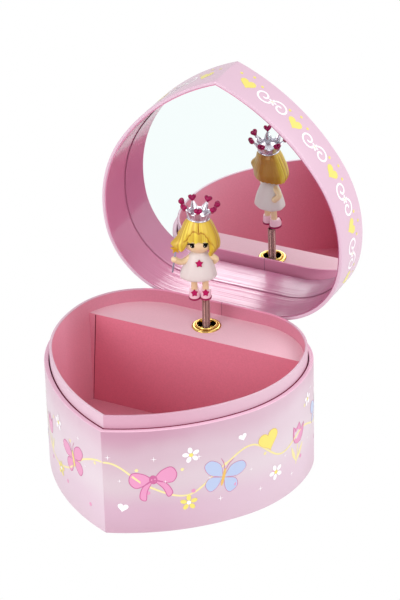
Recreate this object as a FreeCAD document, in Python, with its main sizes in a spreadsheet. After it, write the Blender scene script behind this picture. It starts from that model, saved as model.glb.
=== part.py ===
import FreeCAD, Part
import math
import os

V = FreeCAD.Vector
UP = V(0, 0, 1)

# Driving sizes in millimetres and degrees. The front tip of the heart points to -Y.
SIZES = {
    "tip_reach": 90.0,
    "tip_heading": 20.0,
    "side_radius": 128.0,
    "side_turn": 36.0,
    "flank_radius": 77.0,
    "flank_turn": 44.0,
    "lobe_radius": 47.0,
    "wall_height": 65.0,
    "wall_thick": 2.6,
    "collar_slit": 0.6,
    "collar_thick": 1.5,
    "collar_rise": 7.8,
    "board_thick": 3.0,
    "pad_thick": 4.3,
    "bay_deep": 33.4,
    "panel_thick": 2.0,
    "shelf_drop": 0.3,
    "shelf_thick": 2.0,
    "cleat_deep": 2.0,
    "cleat_tall": 4.0,
    "cleat_half": 25.0,
    "stem_to_back": 19.0,
    "eyelet_bore": 5.1,
    "eyelet_tube": 5.8,
    "eyelet_flange": 8.4,
    "eyelet_thick": 0.9,
    "eyelet_round": 0.6,
    "lid_deep": 29.4,
    "lid_wall_thick": 2.0,
    "lid_top_thick": 2.0,
    "rim_gap": 0.4,
    "liner_thick": 0.4,
    "liner_inset": 0.5,
    "mirror_deep": 23.7,
    "mirror_thick": 2.0,
    "mirror_margin": 0.4,
    "lid_open": 89.0,
    "tape_thick": 0.45,
    "tape_half": 26.0,
    "tape_leaf": 15.0,
    "hinge_out": 0.6,
    "hinge_bead": 0.45,
    "bead_clear": 0.15,
    "spacer_wide": 10.0,
    "bed_thick": 3.0,
    "bed_margin": 1.4,
    "bed_clear": 0.7,
    "bed_screw_in": 3.5,
    "screw_head": 2.2,
    "screw_head_tall": 1.4,
    "slot_wide": 0.6,
    "slot_deep": 0.5,
    "tooth_module": 0.6,
    "tooth_root": 1.2,
    "tooth_tip": 0.85,
    "tooth_root_share": 0.26,
    "tooth_tip_share": 0.1,
    "barrel_teeth": 38,
    "drive_teeth": 14,
    "wheel_teeth": 32,
    "fly_teeth": 8,
    "gear_thick": 2.0,
    "wheel_thick": 1.5,
    "barrel_lift": 2.0,
    "barrel_tall": 11.5,
    "barrel_radius": 10.4,
    "barrel_skin": 0.8,
    "mainspring_core": 5.0,
    "mainspring_margin": 0.3,
    "arbor_radius": 2.0,
    "arbor_over": 1.5,
    "run_clear": 0.05,
    "ratchet_teeth": 16,
    "ratchet_module": 0.5,
    "ratchet_thick": 1.2,
    "part_clear": 0.3,
    "click_long": 6.0,
    "click_wide": 1.6,
    "click_over": 1.0,
    "key_gap": 4.5,
    "key_tall": 6.0,
    "key_hub": 3.4,
    "key_half": 9.5,
    "key_wing": 2.4,
    "key_hole": 12.0,
    "spindle_radius": 1.5,
    "spindle_seat": 2.0,
    "wheel_over": 1.2,
    "drum_radius": 6.5,
    "drum_tall": 18.5,
    "pin_radius": 0.25,
    "pin_tall": 0.5,
    "note_count": 18,
    "pin_rounds": 3,
    "note_start": 4.5,
    "note_pitch": 0.75,
    "comb_tooth_tall": 0.5,
    "comb_tip_gap": 0.3,
    "comb_tooth_long": 14.0,
    "comb_block_long": 11.0,
    "comb_thick": 0.8,
    "comb_block_thick": 1.8,
    "comb_margin": 0.7,
    "comb_post_deep": 4.0,
    "comb_screw": 1.6,
    "comb_screw_share": 0.25,
    "pillar_in": 6.0,
    "pillar_radius": 2.5,
    "bridge_drop": 3.2,
    "bridge_gap": 0.8,
    "bridge_thick": 1.5,
    "bridge_in": 3.0,
    "bridge_wide": 8.0,
    "chuck_radius": 2.9,
    "chuck_gap": 0.5,
    "chuck_tall": 3.4,
    "fly_shaft": 0.8,
    "fly_span": 5.0,
    "vane_thick": 0.6,
    "vane_lift": 3.5,
    "vane_tall": 9.0,
    "fly_over": 2.3,
    "bracket_arm": 1.5,
    "bracket_half": 1.8,
    "bracket_post": 2.6,
    "bracket_clear": 0.8,
    "stem_tall": 20.4,
    "stem_wire": 0.8,
    "stem_radius": 1.9,
    "stem_turns": 13,
    "stem_bend": 0.9,
    "doll_yaw": 27.0,
    "doll_x": -3.05,
    "doll_y": -2.1,
    "foot_apart": 3.2,
    "foot_wide": 3.1,
    "foot_long": 3.7,
    "toe_forward": 0.9,
    "sole_thick": 1.2,
    "shoe_tall": 5.0,
    "leg_radius": 1.7,
    "leg_sink": 2.0,
    "hem_height": 15.6,
    "hem_radius": 10.2,
    "hem_thick": 1.0,
    "waist_height": 22.4,
    "waist_radius": 6.6,
    "neck_height": 28.8,
    "neck_radius": 3.6,
    "head_height": 38.8,
    "head_wide": 7.7,
    "head_deep": 7.3,
    "head_tall": 10.8,
    "hair_back": -0.9,
    "hair_wide": 11.6,
    "hair_deep": 9.2,
    "hair_tall": 13.4,
    "hair_end": 31.0,
    "fringe_height": 39.9,
    "face_half": 7.3,
    "face_front": 3.0,
    "flip_x": 12.0,
    "flip_height": 35.0,
    "flip_radius": 3.0,
    "crown_radius": 6.3,
    "crown_skin": 0.8,
    "crown_base": 49.2,
    "crown_band": 4.6,
    "spike_count": 7,
    "spike_radius": 0.8,
    "heart_ring": 10.5,
    "heart_height": 57.7,
    "heart_radius": 1.9,
    "arm_radius": 1.5,
    "shoulder_out": 4.2,
    "shoulder_height": 26.0,
    "elbow_out": 9.5,
    "elbow_height": 23.6,
    "elbow_back": 1.2,
    "hip_out": 6.8,
    "hip_back": 6.2,
    "hip_height": 21.0,
    "wand_out": 15.0,
    "wand_front": 4.6,
    "wand_height": 18.6,
    "wand_lean": 2.1,
    "wand_radius": 0.5,
    "wand_long": 13.8,
    "star_radius": 3.0,
    "star_inner": 1.3,
    "star_thick": 1.4,
    "star_over": 1.0,
    "dress_star": 2.3,
    "dress_star_height": 24.2,
    "dress_star_thick": 1.6,
    "dress_star_inner": 1.3,
    "dress_star_sink": 1.2,
}

doc = FreeCAD.newDocument("jewellery_box")
sheet = doc.addObject("Spreadsheet::Sheet", "sizes")
nodes = {}


def fill_sheet():
    for row, (name, value) in enumerate(SIZES.items(), 1):
        cell = "A%d" % row
        sheet.set(cell, str(value))
        sheet.setAlias(cell, name)
    doc.recompute()


def size(name):
    return float(sheet.get(name))


def bound(text):
    # Turns bare size names in an expression into references to the sheet.
    words = text.split()
    return " ".join("sizes." + w if w in SIZES else w for w in words)


def value(text):
    # The number that a sum of size names comes to.
    total = 0.0
    sign = 1.0
    for word in text.split():
        if word in "+-":
            sign = 1.0 if word == "+" else -1.0
        else:
            total += sign * (size(word) if word in SIZES else float(word))
    return total


# An edge this near to a height lies on it.
SAME_HEIGHT = 0.01

# Heights that several pieces share, as sums of sizes.
BOARD_TOP = "board_thick"
SHELF_TOP = "wall_height - shelf_drop"
SHELF_UNDER = SHELF_TOP + " - shelf_thick"
WALL_IN = "wall_thick"
LID_IN = "lid_wall_thick"
COLLAR_OUT = "wall_thick + collar_slit"
COLLAR_IN = COLLAR_OUT + " + collar_thick"
BRIDGE_TOP = SHELF_UNDER + " - bridge_drop"
BRIDGE_UNDER = BRIDGE_TOP + " - bridge_thick"
DRUM_TOP = BRIDGE_UNDER + " - bridge_gap"
DRUM_UNDER = DRUM_TOP + " - drum_tall"
WHEEL_UNDER = DRUM_UNDER + " - wheel_thick"
GEAR_UNDER = WHEEL_UNDER + " - wheel_over - gear_thick"
BARREL_UNDER = GEAR_UNDER + " - barrel_tall"
BED_TOP = BARREL_UNDER + " - barrel_lift"
BED_UNDER = BED_TOP + " - bed_thick"
KEY_UNDER = BED_UNDER + " - key_gap - key_tall"
POST_TALL = "barrel_lift + barrel_tall + gear_thick + wheel_over + wheel_thick + drum_tall + bridge_gap"
FLY_TALL = "barrel_lift + barrel_tall + gear_thick + wheel_over + wheel_thick + fly_over"
CHUCK_UNDER = BRIDGE_TOP + " + chuck_gap"
CHUCK_TOP = CHUCK_UNDER + " + chuck_tall"
SOLE = SHELF_TOP + " + stem_tall"
LID_RIM = "wall_height + rim_gap"
MIRROR_FACE = "wall_height + mirror_deep"
MIRROR_BACK = MIRROR_FACE + " + mirror_thick"
LID_TOP_UNDER = "wall_height + lid_deep - lid_top_thick"


def outline_arcs():
    # Right half of the heart from the tip to the straight back: centre, radius, start and end angle.
    heading = math.radians(size("tip_heading"))
    point = V(0, -size("tip_reach"), 0)
    last_turn = math.degrees(math.pi) - size("tip_heading") - size("side_turn") - size("flank_turn")
    arcs = []
    for radius, turn in (
        (size("side_radius"), size("side_turn")),
        (size("flank_radius"), size("flank_turn")),
        (size("lobe_radius"), last_turn),
    ):
        centre = point + V(-math.sin(heading), math.cos(heading), 0) * radius
        start = heading - math.pi / 2
        end = start + math.radians(turn)
        arcs.append([centre, radius, start, end])
        heading += math.radians(turn)
        point = centre + V(math.cos(end), math.sin(end), 0) * radius
    return arcs, point


def back_y():
    return outline_arcs()[1].y


def stem_y():
    return back_y() - size("stem_to_back")


def bed_front():
    return back_y() - size("bay_deep") + size("panel_thick") + size("bed_clear")


def bed_back():
    return back_y() - value(COLLAR_IN) - size("bed_margin")


def bed_half():
    # Half width that fits inside the curved corners of the collar.
    centre, radius, start, end = outline_arcs()[0][2]
    inner = radius - value(COLLAR_IN)
    rise = bed_back() - centre.y
    return centre.x + math.sqrt(inner * inner - rise * rise) - size("bed_clear")


def heart(inset):
    # Closed heart outline moved inwards by the inset.
    arcs, corner = outline_arcs()
    loop = []
    for index, (centre, radius, start, end) in enumerate(arcs):
        r = radius - inset
        if index == 0:
            start = -math.acos(-centre.x / r)
        loop.append(Part.ArcOfCircle(Part.Circle(centre, UP, r), start, end))
        mirror = V(-centre.x, centre.y, 0)
        loop.append(Part.ArcOfCircle(Part.Circle(mirror, UP, r), math.pi - end, math.pi - start))
    y = corner.y - inset
    loop.append(Part.LineSegment(V(corner.x, y, 0), V(-corner.x, y, 0)))
    return loop


def inset_of(text):
    return heart(value(text))


def circle(x, y, radius):
    return [Part.Circle(V(x, y, 0), UP, radius)]


def ellipse(x, y, half_x, half_y):
    return [Part.Ellipse(V(x, y + half_y, 0), V(x + half_x, y, 0), V(x, y, 0))]


def polygon(points):
    ends = points[1:] + points[:1]
    return [Part.LineSegment(V(*a, 0), V(*b, 0)) for a, b in zip(points, ends)]


def rectangle(x0, y0, x1, y1):
    return polygon([(x0, y0), (x1, y0), (x1, y1), (x0, y1)])


def gear(x, y, count, module, phase):
    # Straight-sided teeth, thin enough to leave backlash; phase is in tooth pitches.
    count = int(count)
    pitch = 2 * math.pi / count
    radius = module * count / 2
    root = radius - size("tooth_root") * module
    tip = radius + size("tooth_tip") * module
    wide, narrow = size("tooth_root_share"), size("tooth_tip_share")
    points = []
    for tooth in range(count):
        middle = (tooth + phase) * pitch
        for r, share in ((root, -wide), (tip, -narrow), (tip, narrow), (root, wide)):
            angle = middle + share * pitch
            points.append((x + r * math.cos(angle), y + r * math.sin(angle)))
    return polygon(points)


def star(radius, inner):
    points = []
    for k in range(10):
        r = inner if k % 2 else radius
        angle = math.pi / 2 + k * math.pi / 5
        points.append((r * math.cos(angle), r * math.sin(angle)))
    return polygon(points)


def prism(label, loops, base, tall):
    # A padded sketch standing on the height "base".
    body = doc.addObject("PartDesign::Body", label)
    body.Label = label
    sketch = body.newObject("Sketcher::SketchObject", label + "_sketch")
    plane = [f for f in body.Origin.OriginFeatures if f.Role == "XY_Plane"][0]
    sketch.AttachmentSupport = (plane, [""])
    sketch.MapMode = "FlatFace"
    sketch.setExpression("AttachmentOffset.Base.z", bound(base))
    for loop in loops:
        sketch.addGeometry(loop)
    pad = body.newObject("PartDesign::Pad", label + "_pad")
    pad.Profile = sketch
    pad.setExpression("Length", bound(tall))
    body.Tip = pad
    sketch.Visibility = False
    return body


def keep(label, thing):
    thing.Label = label
    nodes[label] = thing
    return thing


def solid(label, loops, base, tall):
    return keep(label, prism(label, loops, base, tall))


def join(name, things):
    fuse = doc.addObject("Part::MultiFuse", name)
    fuse.Shapes = things
    return fuse


def less(name, thing, tool):
    cut = doc.addObject("Part::Cut", name)
    cut.Base = thing
    cut.Tool = tool
    return cut


def both(name, one, two):
    common = doc.addObject("Part::Common", name)
    common.Base = one
    common.Tool = two
    return common


def rod(name, start, end, radius):
    # A round bar between two points; radius is a size name.
    bar = doc.addObject("Part::Cylinder", name)
    bar.setExpression("Radius", bound(radius))
    bar.Height = (end - start).Length
    bar.Placement = FreeCAD.Placement(start, FreeCAD.Rotation(UP, end - start))
    return bar


def ball(name, centre, radius):
    sphere = doc.addObject("Part::Sphere", name)
    sphere.setExpression("Radius", bound(radius))
    sphere.Placement.Base = centre
    return sphere


def egg(name, centre, half_x, half_y, half_z):
    form = doc.addObject("Part::Ellipsoid", name)
    form.setExpression("Radius2", bound(half_x))
    form.setExpression("Radius3", bound(half_y))
    form.setExpression("Radius1", bound(half_z))
    form.Placement.Base = centre
    return form


def box_shell():
    solid("outer_wall", heart(0) + inset_of(WALL_IN), "0", "wall_height")
    key_hole = circle(barrel_x(), stem_y(), size("key_hole"))
    solid("bottom_board", inset_of(WALL_IN) + key_hole, "0", "board_thick")
    collar_tall = "wall_height + collar_rise - board_thick"
    solid("inner_collar", inset_of(COLLAR_OUT) + inset_of(COLLAR_IN), BOARD_TOP, collar_tall)


def half_plane(name, y0, y1):
    # A block wider than the box, used to split heart-shaped boards.
    reach = 2 * size("tip_reach")
    return prism(name, rectangle(-reach, y0, reach, y1), "0", "wall_height")


def fittings():
    reach = 2 * size("tip_reach")
    front = back_y() - size("bay_deep")
    pad = prism("pad_blank", inset_of(COLLAR_IN), BOARD_TOP, "pad_thick")
    keep("floor_pad", less("floor_pad", pad, half_plane("pad_split", front, reach)))
    hole = circle(0, stem_y(), size("eyelet_tube"))
    shelf = prism("shelf_blank", inset_of(COLLAR_IN) + hole, SHELF_UNDER, "shelf_thick")
    keep("bay_shelf", less("bay_shelf", shelf, half_plane("shelf_split", -reach, front)))
    panel_tall = SHELF_UNDER + " - board_thick"
    blank = prism("panel_blank", inset_of(COLLAR_IN), BOARD_TOP, panel_tall)
    strip = half_plane("panel_strip", front, front + size("panel_thick"))
    keep("bay_panel", both("bay_panel", blank, strip))
    y = back_y() - value(COLLAR_IN)
    cleat = rectangle(-size("cleat_half"), y - size("cleat_deep"), size("cleat_half"), y)
    solid("shelf_cleat", cleat, SHELF_UNDER + " - cleat_tall", "cleat_tall")


def eyelet():
    y = stem_y()
    bore = circle(0, y, size("eyelet_bore"))
    rim = circle(0, y, size("eyelet_flange")) + bore
    flange = prism("eyelet_flange_pad", rim, SHELF_TOP, "eyelet_thick")
    tube = prism(
        "eyelet_tube_pad",
        circle(0, y, size("eyelet_tube")) + circle(0, y, size("eyelet_bore")),
        SHELF_UNDER + " - eyelet_thick",
        "shelf_thick + eyelet_thick",
    )
    doc.recompute()
    whole = join("eyelet_blank", [flange, tube])
    doc.recompute()
    top = value(SHELF_TOP) + size("eyelet_thick")
    rims = [
        index
        for index, edge in enumerate(whole.Shape.Edges, 1)
        if edge.BoundBox.ZMin > top - SAME_HEIGHT
    ]
    rounded = doc.addObject("Part::Fillet", "eyelet_ring")
    rounded.Base = whole
    rounded.Edges = [(index, size("eyelet_round"), size("eyelet_round")) for index in rims]
    keep("eyelet_ring", rounded)
    washer = circle(0, y, size("eyelet_flange")) + circle(0, y, size("eyelet_tube"))
    solid("eyelet_washer", washer, SHELF_UNDER + " - eyelet_thick", "eyelet_thick")


def hinge_pose():
    # Turns a piece made in the closed position up to the open lid.
    hinge = V(0, back_y() + size("hinge_out"), size("wall_height"))
    return FreeCAD.Placement(V(0, 0, 0), FreeCAD.Rotation(V(1, 0, 0), -size("lid_open")), hinge)


def lid():
    liner_in = "lid_wall_thick + liner_thick"
    pieces = [
        solid("lid_wall", heart(0) + inset_of(LID_IN), LID_RIM, "lid_deep - lid_top_thick - rim_gap"),
        solid("lid_top", heart(0), LID_TOP_UNDER, "lid_top_thick"),
        solid(
            "lid_liner",
            inset_of(LID_IN) + inset_of(liner_in),
            LID_RIM + " + liner_inset",
            "mirror_deep + mirror_thick - rim_gap - liner_inset",
        ),
        solid(
            "mirror_backing",
            inset_of(LID_IN),
            MIRROR_BACK,
            "lid_deep - lid_top_thick - mirror_deep - mirror_thick",
        ),
        solid("lid_mirror", inset_of(liner_in + " + mirror_margin"), MIRROR_FACE, "mirror_thick"),
    ]
    leaf = rectangle(-size("tape_half"), back_y(), size("tape_half"), back_y() + size("tape_thick"))
    gap = "wall_height + hinge_bead + bead_clear"
    pieces.append(solid("hinge_tape_lid", leaf, gap, "tape_leaf"))
    for piece in pieces:
        piece.Placement = hinge_pose()


def hinge_tape():
    y = back_y()
    half = size("tape_half")
    leaf = prism(
        "tape_base_pad",
        rectangle(-half, y, half, y + size("tape_thick")),
        "wall_height - tape_leaf",
        "tape_leaf - hinge_bead + bead_clear",
    )
    hinge = V(0, y + size("hinge_out"), size("wall_height"))
    bead = rod("tape_bead", hinge - V(half, 0, 0), hinge + V(half, 0, 0), "hinge_bead")
    keep("hinge_tape_base", join("hinge_tape_base", [leaf, bead]))


def barrel_x():
    return -size("tooth_module") * (size("barrel_teeth") + size("drive_teeth")) / 2


def fly_x():
    return size("tooth_module") * (size("wheel_teeth") + size("fly_teeth")) / 2


def screw(name, x, y, base, radius):
    # A round head with a driver slot.
    head = prism(name + "_head", circle(x, y, size(radius)), base, "screw_head_tall")
    half = size("slot_wide") / 2
    slot = prism(
        name + "_slot",
        rectangle(x - 2 * size(radius), y - half, x + 2 * size(radius), y + half),
        base + " + screw_head_tall - slot_deep",
        "screw_head_tall",
    )
    return less(name, head, slot)


def movement_frame():
    y = stem_y()
    clear = size("run_clear")
    for side, name in ((-1, "spacer_left"), (1, "spacer_right")):
        x0, x1 = sorted((side * (bed_half() - size("spacer_wide")), side * bed_half()))
        block = rectangle(x0, bed_front(), x1, bed_back())
        solid(name, block, BOARD_TOP, BED_UNDER + " - board_thick")
        screw_x = side * (bed_half() - size("bed_screw_in"))
        screw_y = bed_front() + size("bed_screw_in")
        keep(
            "bed_screw_" + name.split("_")[1],
            screw("bed_screw_" + name, screw_x, screw_y, BED_TOP, "screw_head"),
        )
    holes = circle(barrel_x(), y, size("arbor_radius") + clear)
    holes += circle(0, y, size("spindle_radius") + clear)
    holes += circle(fly_x(), y, size("fly_shaft") + clear)
    plate = rectangle(-bed_half(), bed_front(), bed_half(), bed_back())
    solid("bedplate", plate + holes, BED_UNDER, "bed_thick")
    pillar = circle(size("pillar_in") - bed_half(), y, size("pillar_radius"))
    solid("bridge_pillar", pillar, BED_TOP, POST_TALL)
    half = size("bridge_wide") / 2
    reach = bed_half() - size("bridge_in")
    bar = rectangle(-reach, y - half, reach, y + half)
    bearing = circle(0, y, size("spindle_radius") + clear)
    solid("spindle_bridge", bar + bearing, BRIDGE_UNDER, "bridge_thick")


def comb_start_x():
    return size("drum_radius") + size("pin_tall") + size("comb_tip_gap")


def comb():
    # Eighteen springy tongues on a block, standing beside the pinned drum.
    y = stem_y()
    half = size("comb_thick") / 2
    x0 = comb_start_x()
    x1 = x0 + size("comb_tooth_long")
    x2 = x1 + size("comb_block_long")
    base = DRUM_UNDER + " + note_start"
    tall = size("note_count") * size("note_pitch")
    block = prism(
        "comb_block",
        rectangle(x1, y + half - size("comb_block_thick"), x2, y + half),
        base + " - comb_margin",
        "note_count * note_pitch + comb_margin",
    )
    tongues = []
    for note in range(int(size("note_count"))):
        level = " + %g * note_pitch" % note
        tongue = rectangle(x0, y - half, x1 + half, y + half)
        tongues.append(prism("tongue_%d" % note, tongue, base + level, "comb_tooth_tall"))
    keep("music_comb", join("music_comb", [block] + tongues))
    post = rectangle(x1, y + half, x2, y + half + size("comb_post_deep"))
    solid("comb_post", post, BED_TOP, POST_TALL)
    front = y + half - size("comb_block_thick")
    low = size("comb_screw_share")
    for name, share in (("comb_screw_low", low), ("comb_screw_high", 1 - low)):
        spot = V((x1 + x2) / 2, front, value(base) + share * tall)
        head = screw(name, 0, 0, "0", "comb_screw")
        head.Placement = FreeCAD.Placement(spot, FreeCAD.Rotation(V(1, 0, 0), 90))
        keep(name, head)


def spring_barrel():
    x, y = barrel_x(), stem_y()
    arbor = circle(x, y, size("arbor_radius") + size("run_clear"))
    outer = prism("barrel_drum", circle(x, y, size("barrel_radius")) + arbor, BARREL_UNDER, "barrel_tall")
    inner = size("barrel_radius") - size("barrel_skin")
    hollow = prism("barrel_hollow", circle(x, y, inner), BARREL_UNDER, "barrel_tall - barrel_skin")
    keep("spring_barrel", less("spring_barrel", outer, hollow))
    solid("barrel_cap", circle(x, y, inner) + circle(*arbor_ring()), BARREL_UNDER, "barrel_skin")
    coil = circle(x, y, inner) + circle(x, y, size("mainspring_core"))
    solid(
        "mainspring",
        coil,
        BARREL_UNDER + " + barrel_skin",
        "barrel_tall - barrel_skin - barrel_skin - mainspring_margin",
    )
    teeth = gear(x, y, size("barrel_teeth"), size("tooth_module"), 0)
    solid("barrel_gear", teeth + circle(*arbor_ring()), GEAR_UNDER, "gear_thick")


def arbor_ring():
    return barrel_x(), stem_y(), size("arbor_radius") + size("run_clear")


def winding():
    x, y = barrel_x(), stem_y()
    arbor_tall = "key_tall + key_gap + bed_thick + barrel_lift + barrel_tall + gear_thick + arbor_over"
    solid("winding_arbor", circle(x, y, size("arbor_radius")), KEY_UNDER, arbor_tall)
    teeth = gear(x, y, size("ratchet_teeth"), size("ratchet_module"), 0)
    bore = circle(x, y, size("arbor_radius"))
    solid("ratchet_wheel", teeth + bore, BED_TOP + " + part_clear", "ratchet_thick")
    reach = size("ratchet_module") * (size("ratchet_teeth") / 2 + size("tooth_tip")) + size("part_clear")
    below = y - reach - size("click_wide")
    pawl = rectangle(x - size("click_long"), below, x + size("click_over"), y - reach)
    solid("ratchet_click", pawl, BED_TOP, "ratchet_thick")
    hub = prism("key_hub_pad", circle(x, y, size("key_hub")), KEY_UNDER, "key_tall")
    half = size("key_wing") / 2
    wing = prism(
        "key_wing_pad",
        rectangle(x - size("key_half") + half, y - half, x + size("key_half") - half, y + half),
        KEY_UNDER,
        "key_tall",
    )
    ends = [
        prism("key_end_%d" % k, circle(x + s * (size("key_half") - half), y, half), KEY_UNDER, "key_tall")
        for k, s in enumerate((-1, 1))
    ]
    bore = prism("key_bore", circle(x, y, size("arbor_radius")), KEY_UNDER, "key_tall")
    keep("winding_key", less("winding_key", join("key_blank", [hub, wing] + ends), bore))


def music_drum():
    y = stem_y()
    shaft = circle(0, y, size("spindle_radius"))
    seat = BED_TOP + " - spindle_seat"
    spindle_tall = POST_TALL + " + bridge_thick + chuck_tall + spindle_seat"
    solid("drum_spindle", shaft, seat, spindle_tall)
    bore = circle(0, y, size("spindle_radius"))
    pinion = gear(0, y, size("drive_teeth"), size("tooth_module"), 0.5)
    solid("drum_pinion", pinion + bore, GEAR_UNDER, "gear_thick")
    wheel = gear(0, y, size("wheel_teeth"), size("tooth_module"), 0)
    solid("drum_wheel", wheel + circle(0, y, size("spindle_radius")), WHEEL_UNDER, "wheel_thick")
    hole = circle(0, y, size("spindle_radius"))
    plain = prism("drum_blank", circle(0, y, size("drum_radius")) + hole, DRUM_UNDER, "drum_tall")
    keep("music_drum", join("music_drum", [plain] + drum_pins()))
    chuck = prism("chuck_blank", circle(0, y, size("chuck_radius")), CHUCK_UNDER, "chuck_tall")
    socket = prism(
        "chuck_socket", circle(0, y, size("spindle_radius")), CHUCK_UNDER, "chuck_tall - chuck_gap"
    )
    keep("spring_chuck", less("spring_chuck", chuck, socket))


def drum_pins():
    # Pins of a made-up tune: each note has its rounds, stepped about the drum by the golden angle.
    pins = []
    inside = size("drum_radius") - 2 * size("pin_radius")
    outside = size("drum_radius") + size("pin_tall")
    golden = math.pi * (3 - math.sqrt(5))
    middle = size("comb_tooth_tall") / 2
    for note in range(int(size("note_count"))):
        z = value(DRUM_UNDER + " + note_start") + note * size("note_pitch") + middle
        for turn in range(int(size("pin_rounds"))):
            angle = golden * (note * size("pin_rounds") + turn)
            way = V(math.cos(angle), math.sin(angle), 0)
            foot = V(0, stem_y(), z)
            name = "pin_%d_%d" % (note, turn)
            pins.append(rod(name, foot + way * inside, foot + way * outside, "pin_radius"))
    return pins


def governor():
    x, y = fly_x(), stem_y()
    tall = FLY_TALL + " + bracket_arm + spindle_seat"
    shaft = prism("fly_shaft_pad", circle(x, y, size("fly_shaft")), BED_TOP + " - spindle_seat", tall)
    pinion = prism(
        "fly_pinion",
        gear(x, y, size("fly_teeth"), size("tooth_module"), 0.5),
        WHEEL_UNDER,
        "wheel_thick",
    )
    half = size("vane_thick") / 2
    vane = prism(
        "fly_vane",
        rectangle(x - size("fly_span"), y - half, x + size("fly_span"), y + half),
        BED_TOP + " + vane_lift",
        "vane_tall",
    )
    keep("governor_fly", join("governor_fly", [shaft, pinion, vane]))
    side = size("bracket_half")
    near = x + size("fly_span") + size("bracket_clear")
    arm_under = WHEEL_UNDER + " + wheel_thick + fly_over - bracket_arm"
    hole = circle(x, y, size("fly_shaft") + size("run_clear"))
    far = near + size("bracket_post")
    plate = rectangle(x - side, y - side, far, y + side)
    arm = prism("bracket_arm_pad", plate + hole, arm_under, "bracket_arm")
    post = prism(
        "bracket_post_pad",
        rectangle(near, y - side, far, y + side),
        BED_TOP,
        FLY_TALL,
    )
    keep("governor_bracket", join("governor_bracket", [arm, post]))


def biarc(start, way_in, end, way_out):
    # Two arcs that leave along way_in and arrive along way_out.
    gap = end - start
    ways = way_in + way_out
    a = 2 * (1 - way_in.dot(way_out))
    b = 2 * gap.dot(ways)
    d = (-b + math.sqrt(b * b + 4 * a * gap.dot(gap))) / (2 * a)
    meet = (start + way_in * d + end - way_out * d) * 0.5
    return [bend(start, way_in, meet), bend(end, way_out * -1, meet).reversed()]


def bend(start, way, end):
    # An arc that leaves the start along the way given.
    chord = end - start
    angle = way.getAngle(chord)
    side = start + way * (chord.Length / 2 / math.cos(angle)) - (start + end) * 0.5
    peak = (start + end) * 0.5 + side.normalize() * (chord.Length / 2 * math.tan(angle / 2))
    return Part.Arc(start, peak, end).toShape()


def coil_sizes():
    # Straight ends, one wire thick, then a bend into the turns.
    bottom, top = value(CHUCK_TOP), value(SOLE)
    lead = size("stem_bend") + size("stem_wire")
    return bottom + lead, top - lead


def coil_point(share):
    low, high = coil_sizes()
    angle = share * 2 * math.pi * int(size("stem_turns"))
    r = size("stem_radius")
    return V(r * math.cos(angle), stem_y() + r * math.sin(angle), low + (high - low) * share)


def coil_way(share):
    low, high = coil_sizes()
    turn = 2 * math.pi * int(size("stem_turns"))
    angle = share * turn
    r = size("stem_radius")
    way = V(-r * turn * math.sin(angle), r * turn * math.cos(angle), high - low)
    return way.normalize()


def coil_gap():
    # Least clear distance between neighbouring turns, measured on points.
    per_turn = 48
    turns = int(size("stem_turns"))
    points = [coil_point(k / (per_turn * turns)) for k in range(per_turn * turns + 1)]
    least = min(
        points[i].distanceToPoint(points[j])
        for i in range(0, len(points), 4)
        for j in range(i + per_turn // 2, min(i + 2 * per_turn, len(points)))
    )
    return least - size("stem_wire")


def stem_spring():
    # The coiled stem that carries the figure, one unbroken wire.
    wire = size("stem_wire")
    first, last = coil_point(0), coil_point(1)
    way_first, way_last = coil_way(0), coil_way(1)
    reach = size("stem_bend") * math.tan((math.pi / 2 - math.asin(way_first.z)) / 2)
    foot = first - way_first * reach - UP * reach
    head = last + way_last * reach + UP * reach
    low = V(foot.x, foot.y, value(CHUCK_TOP))
    high = V(head.x, head.y, value(SOLE))
    edges = [Part.makeLine(low, foot), bend(foot, UP, first)]
    steps = 4 * int(size("stem_turns"))
    for k in range(steps):
        a, b = k / steps, (k + 1) / steps
        edges += biarc(coil_point(a), coil_way(a), coil_point(b), coil_way(b))
    edges += [bend(last, way_last, head), Part.makeLine(head, high)]
    path = Part.Wire(Part.__sortEdges__(edges))
    profile = Part.Wire(Part.makeCircle(wire / 2, low, UP))
    spring = doc.addObject("Part::Feature", "stem_spring")
    spring.Shape = path.makePipeShell([profile], True, False)
    keep("stem_spring", spring)
    print("stem spring least gap to itself, mm: %.3f" % coil_gap())


def doll_spot(x, y, z):
    return V(size("doll_x") + x, size("doll_y") + y, z)


def revolved(label, points):
    # A turned form about the figure's own upright axis, from radius and height pairs.
    body = doc.addObject("PartDesign::Body", label)
    sketch = body.newObject("Sketcher::SketchObject", label + "_sketch")
    plane = [f for f in body.Origin.OriginFeatures if f.Role == "XZ_Plane"][0]
    sketch.AttachmentSupport = (plane, [""])
    sketch.MapMode = "FlatFace"
    for edge in polygon(points):
        sketch.addGeometry(edge)
    turned = body.newObject("PartDesign::Revolution", label + "_turn")
    turned.Profile = sketch
    turned.ReferenceAxis = (sketch, ["V_Axis"])
    turned.Angle = 360.0
    body.Tip = turned
    body.Placement.Base = doll_spot(0, 0, 0)
    return body


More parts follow.
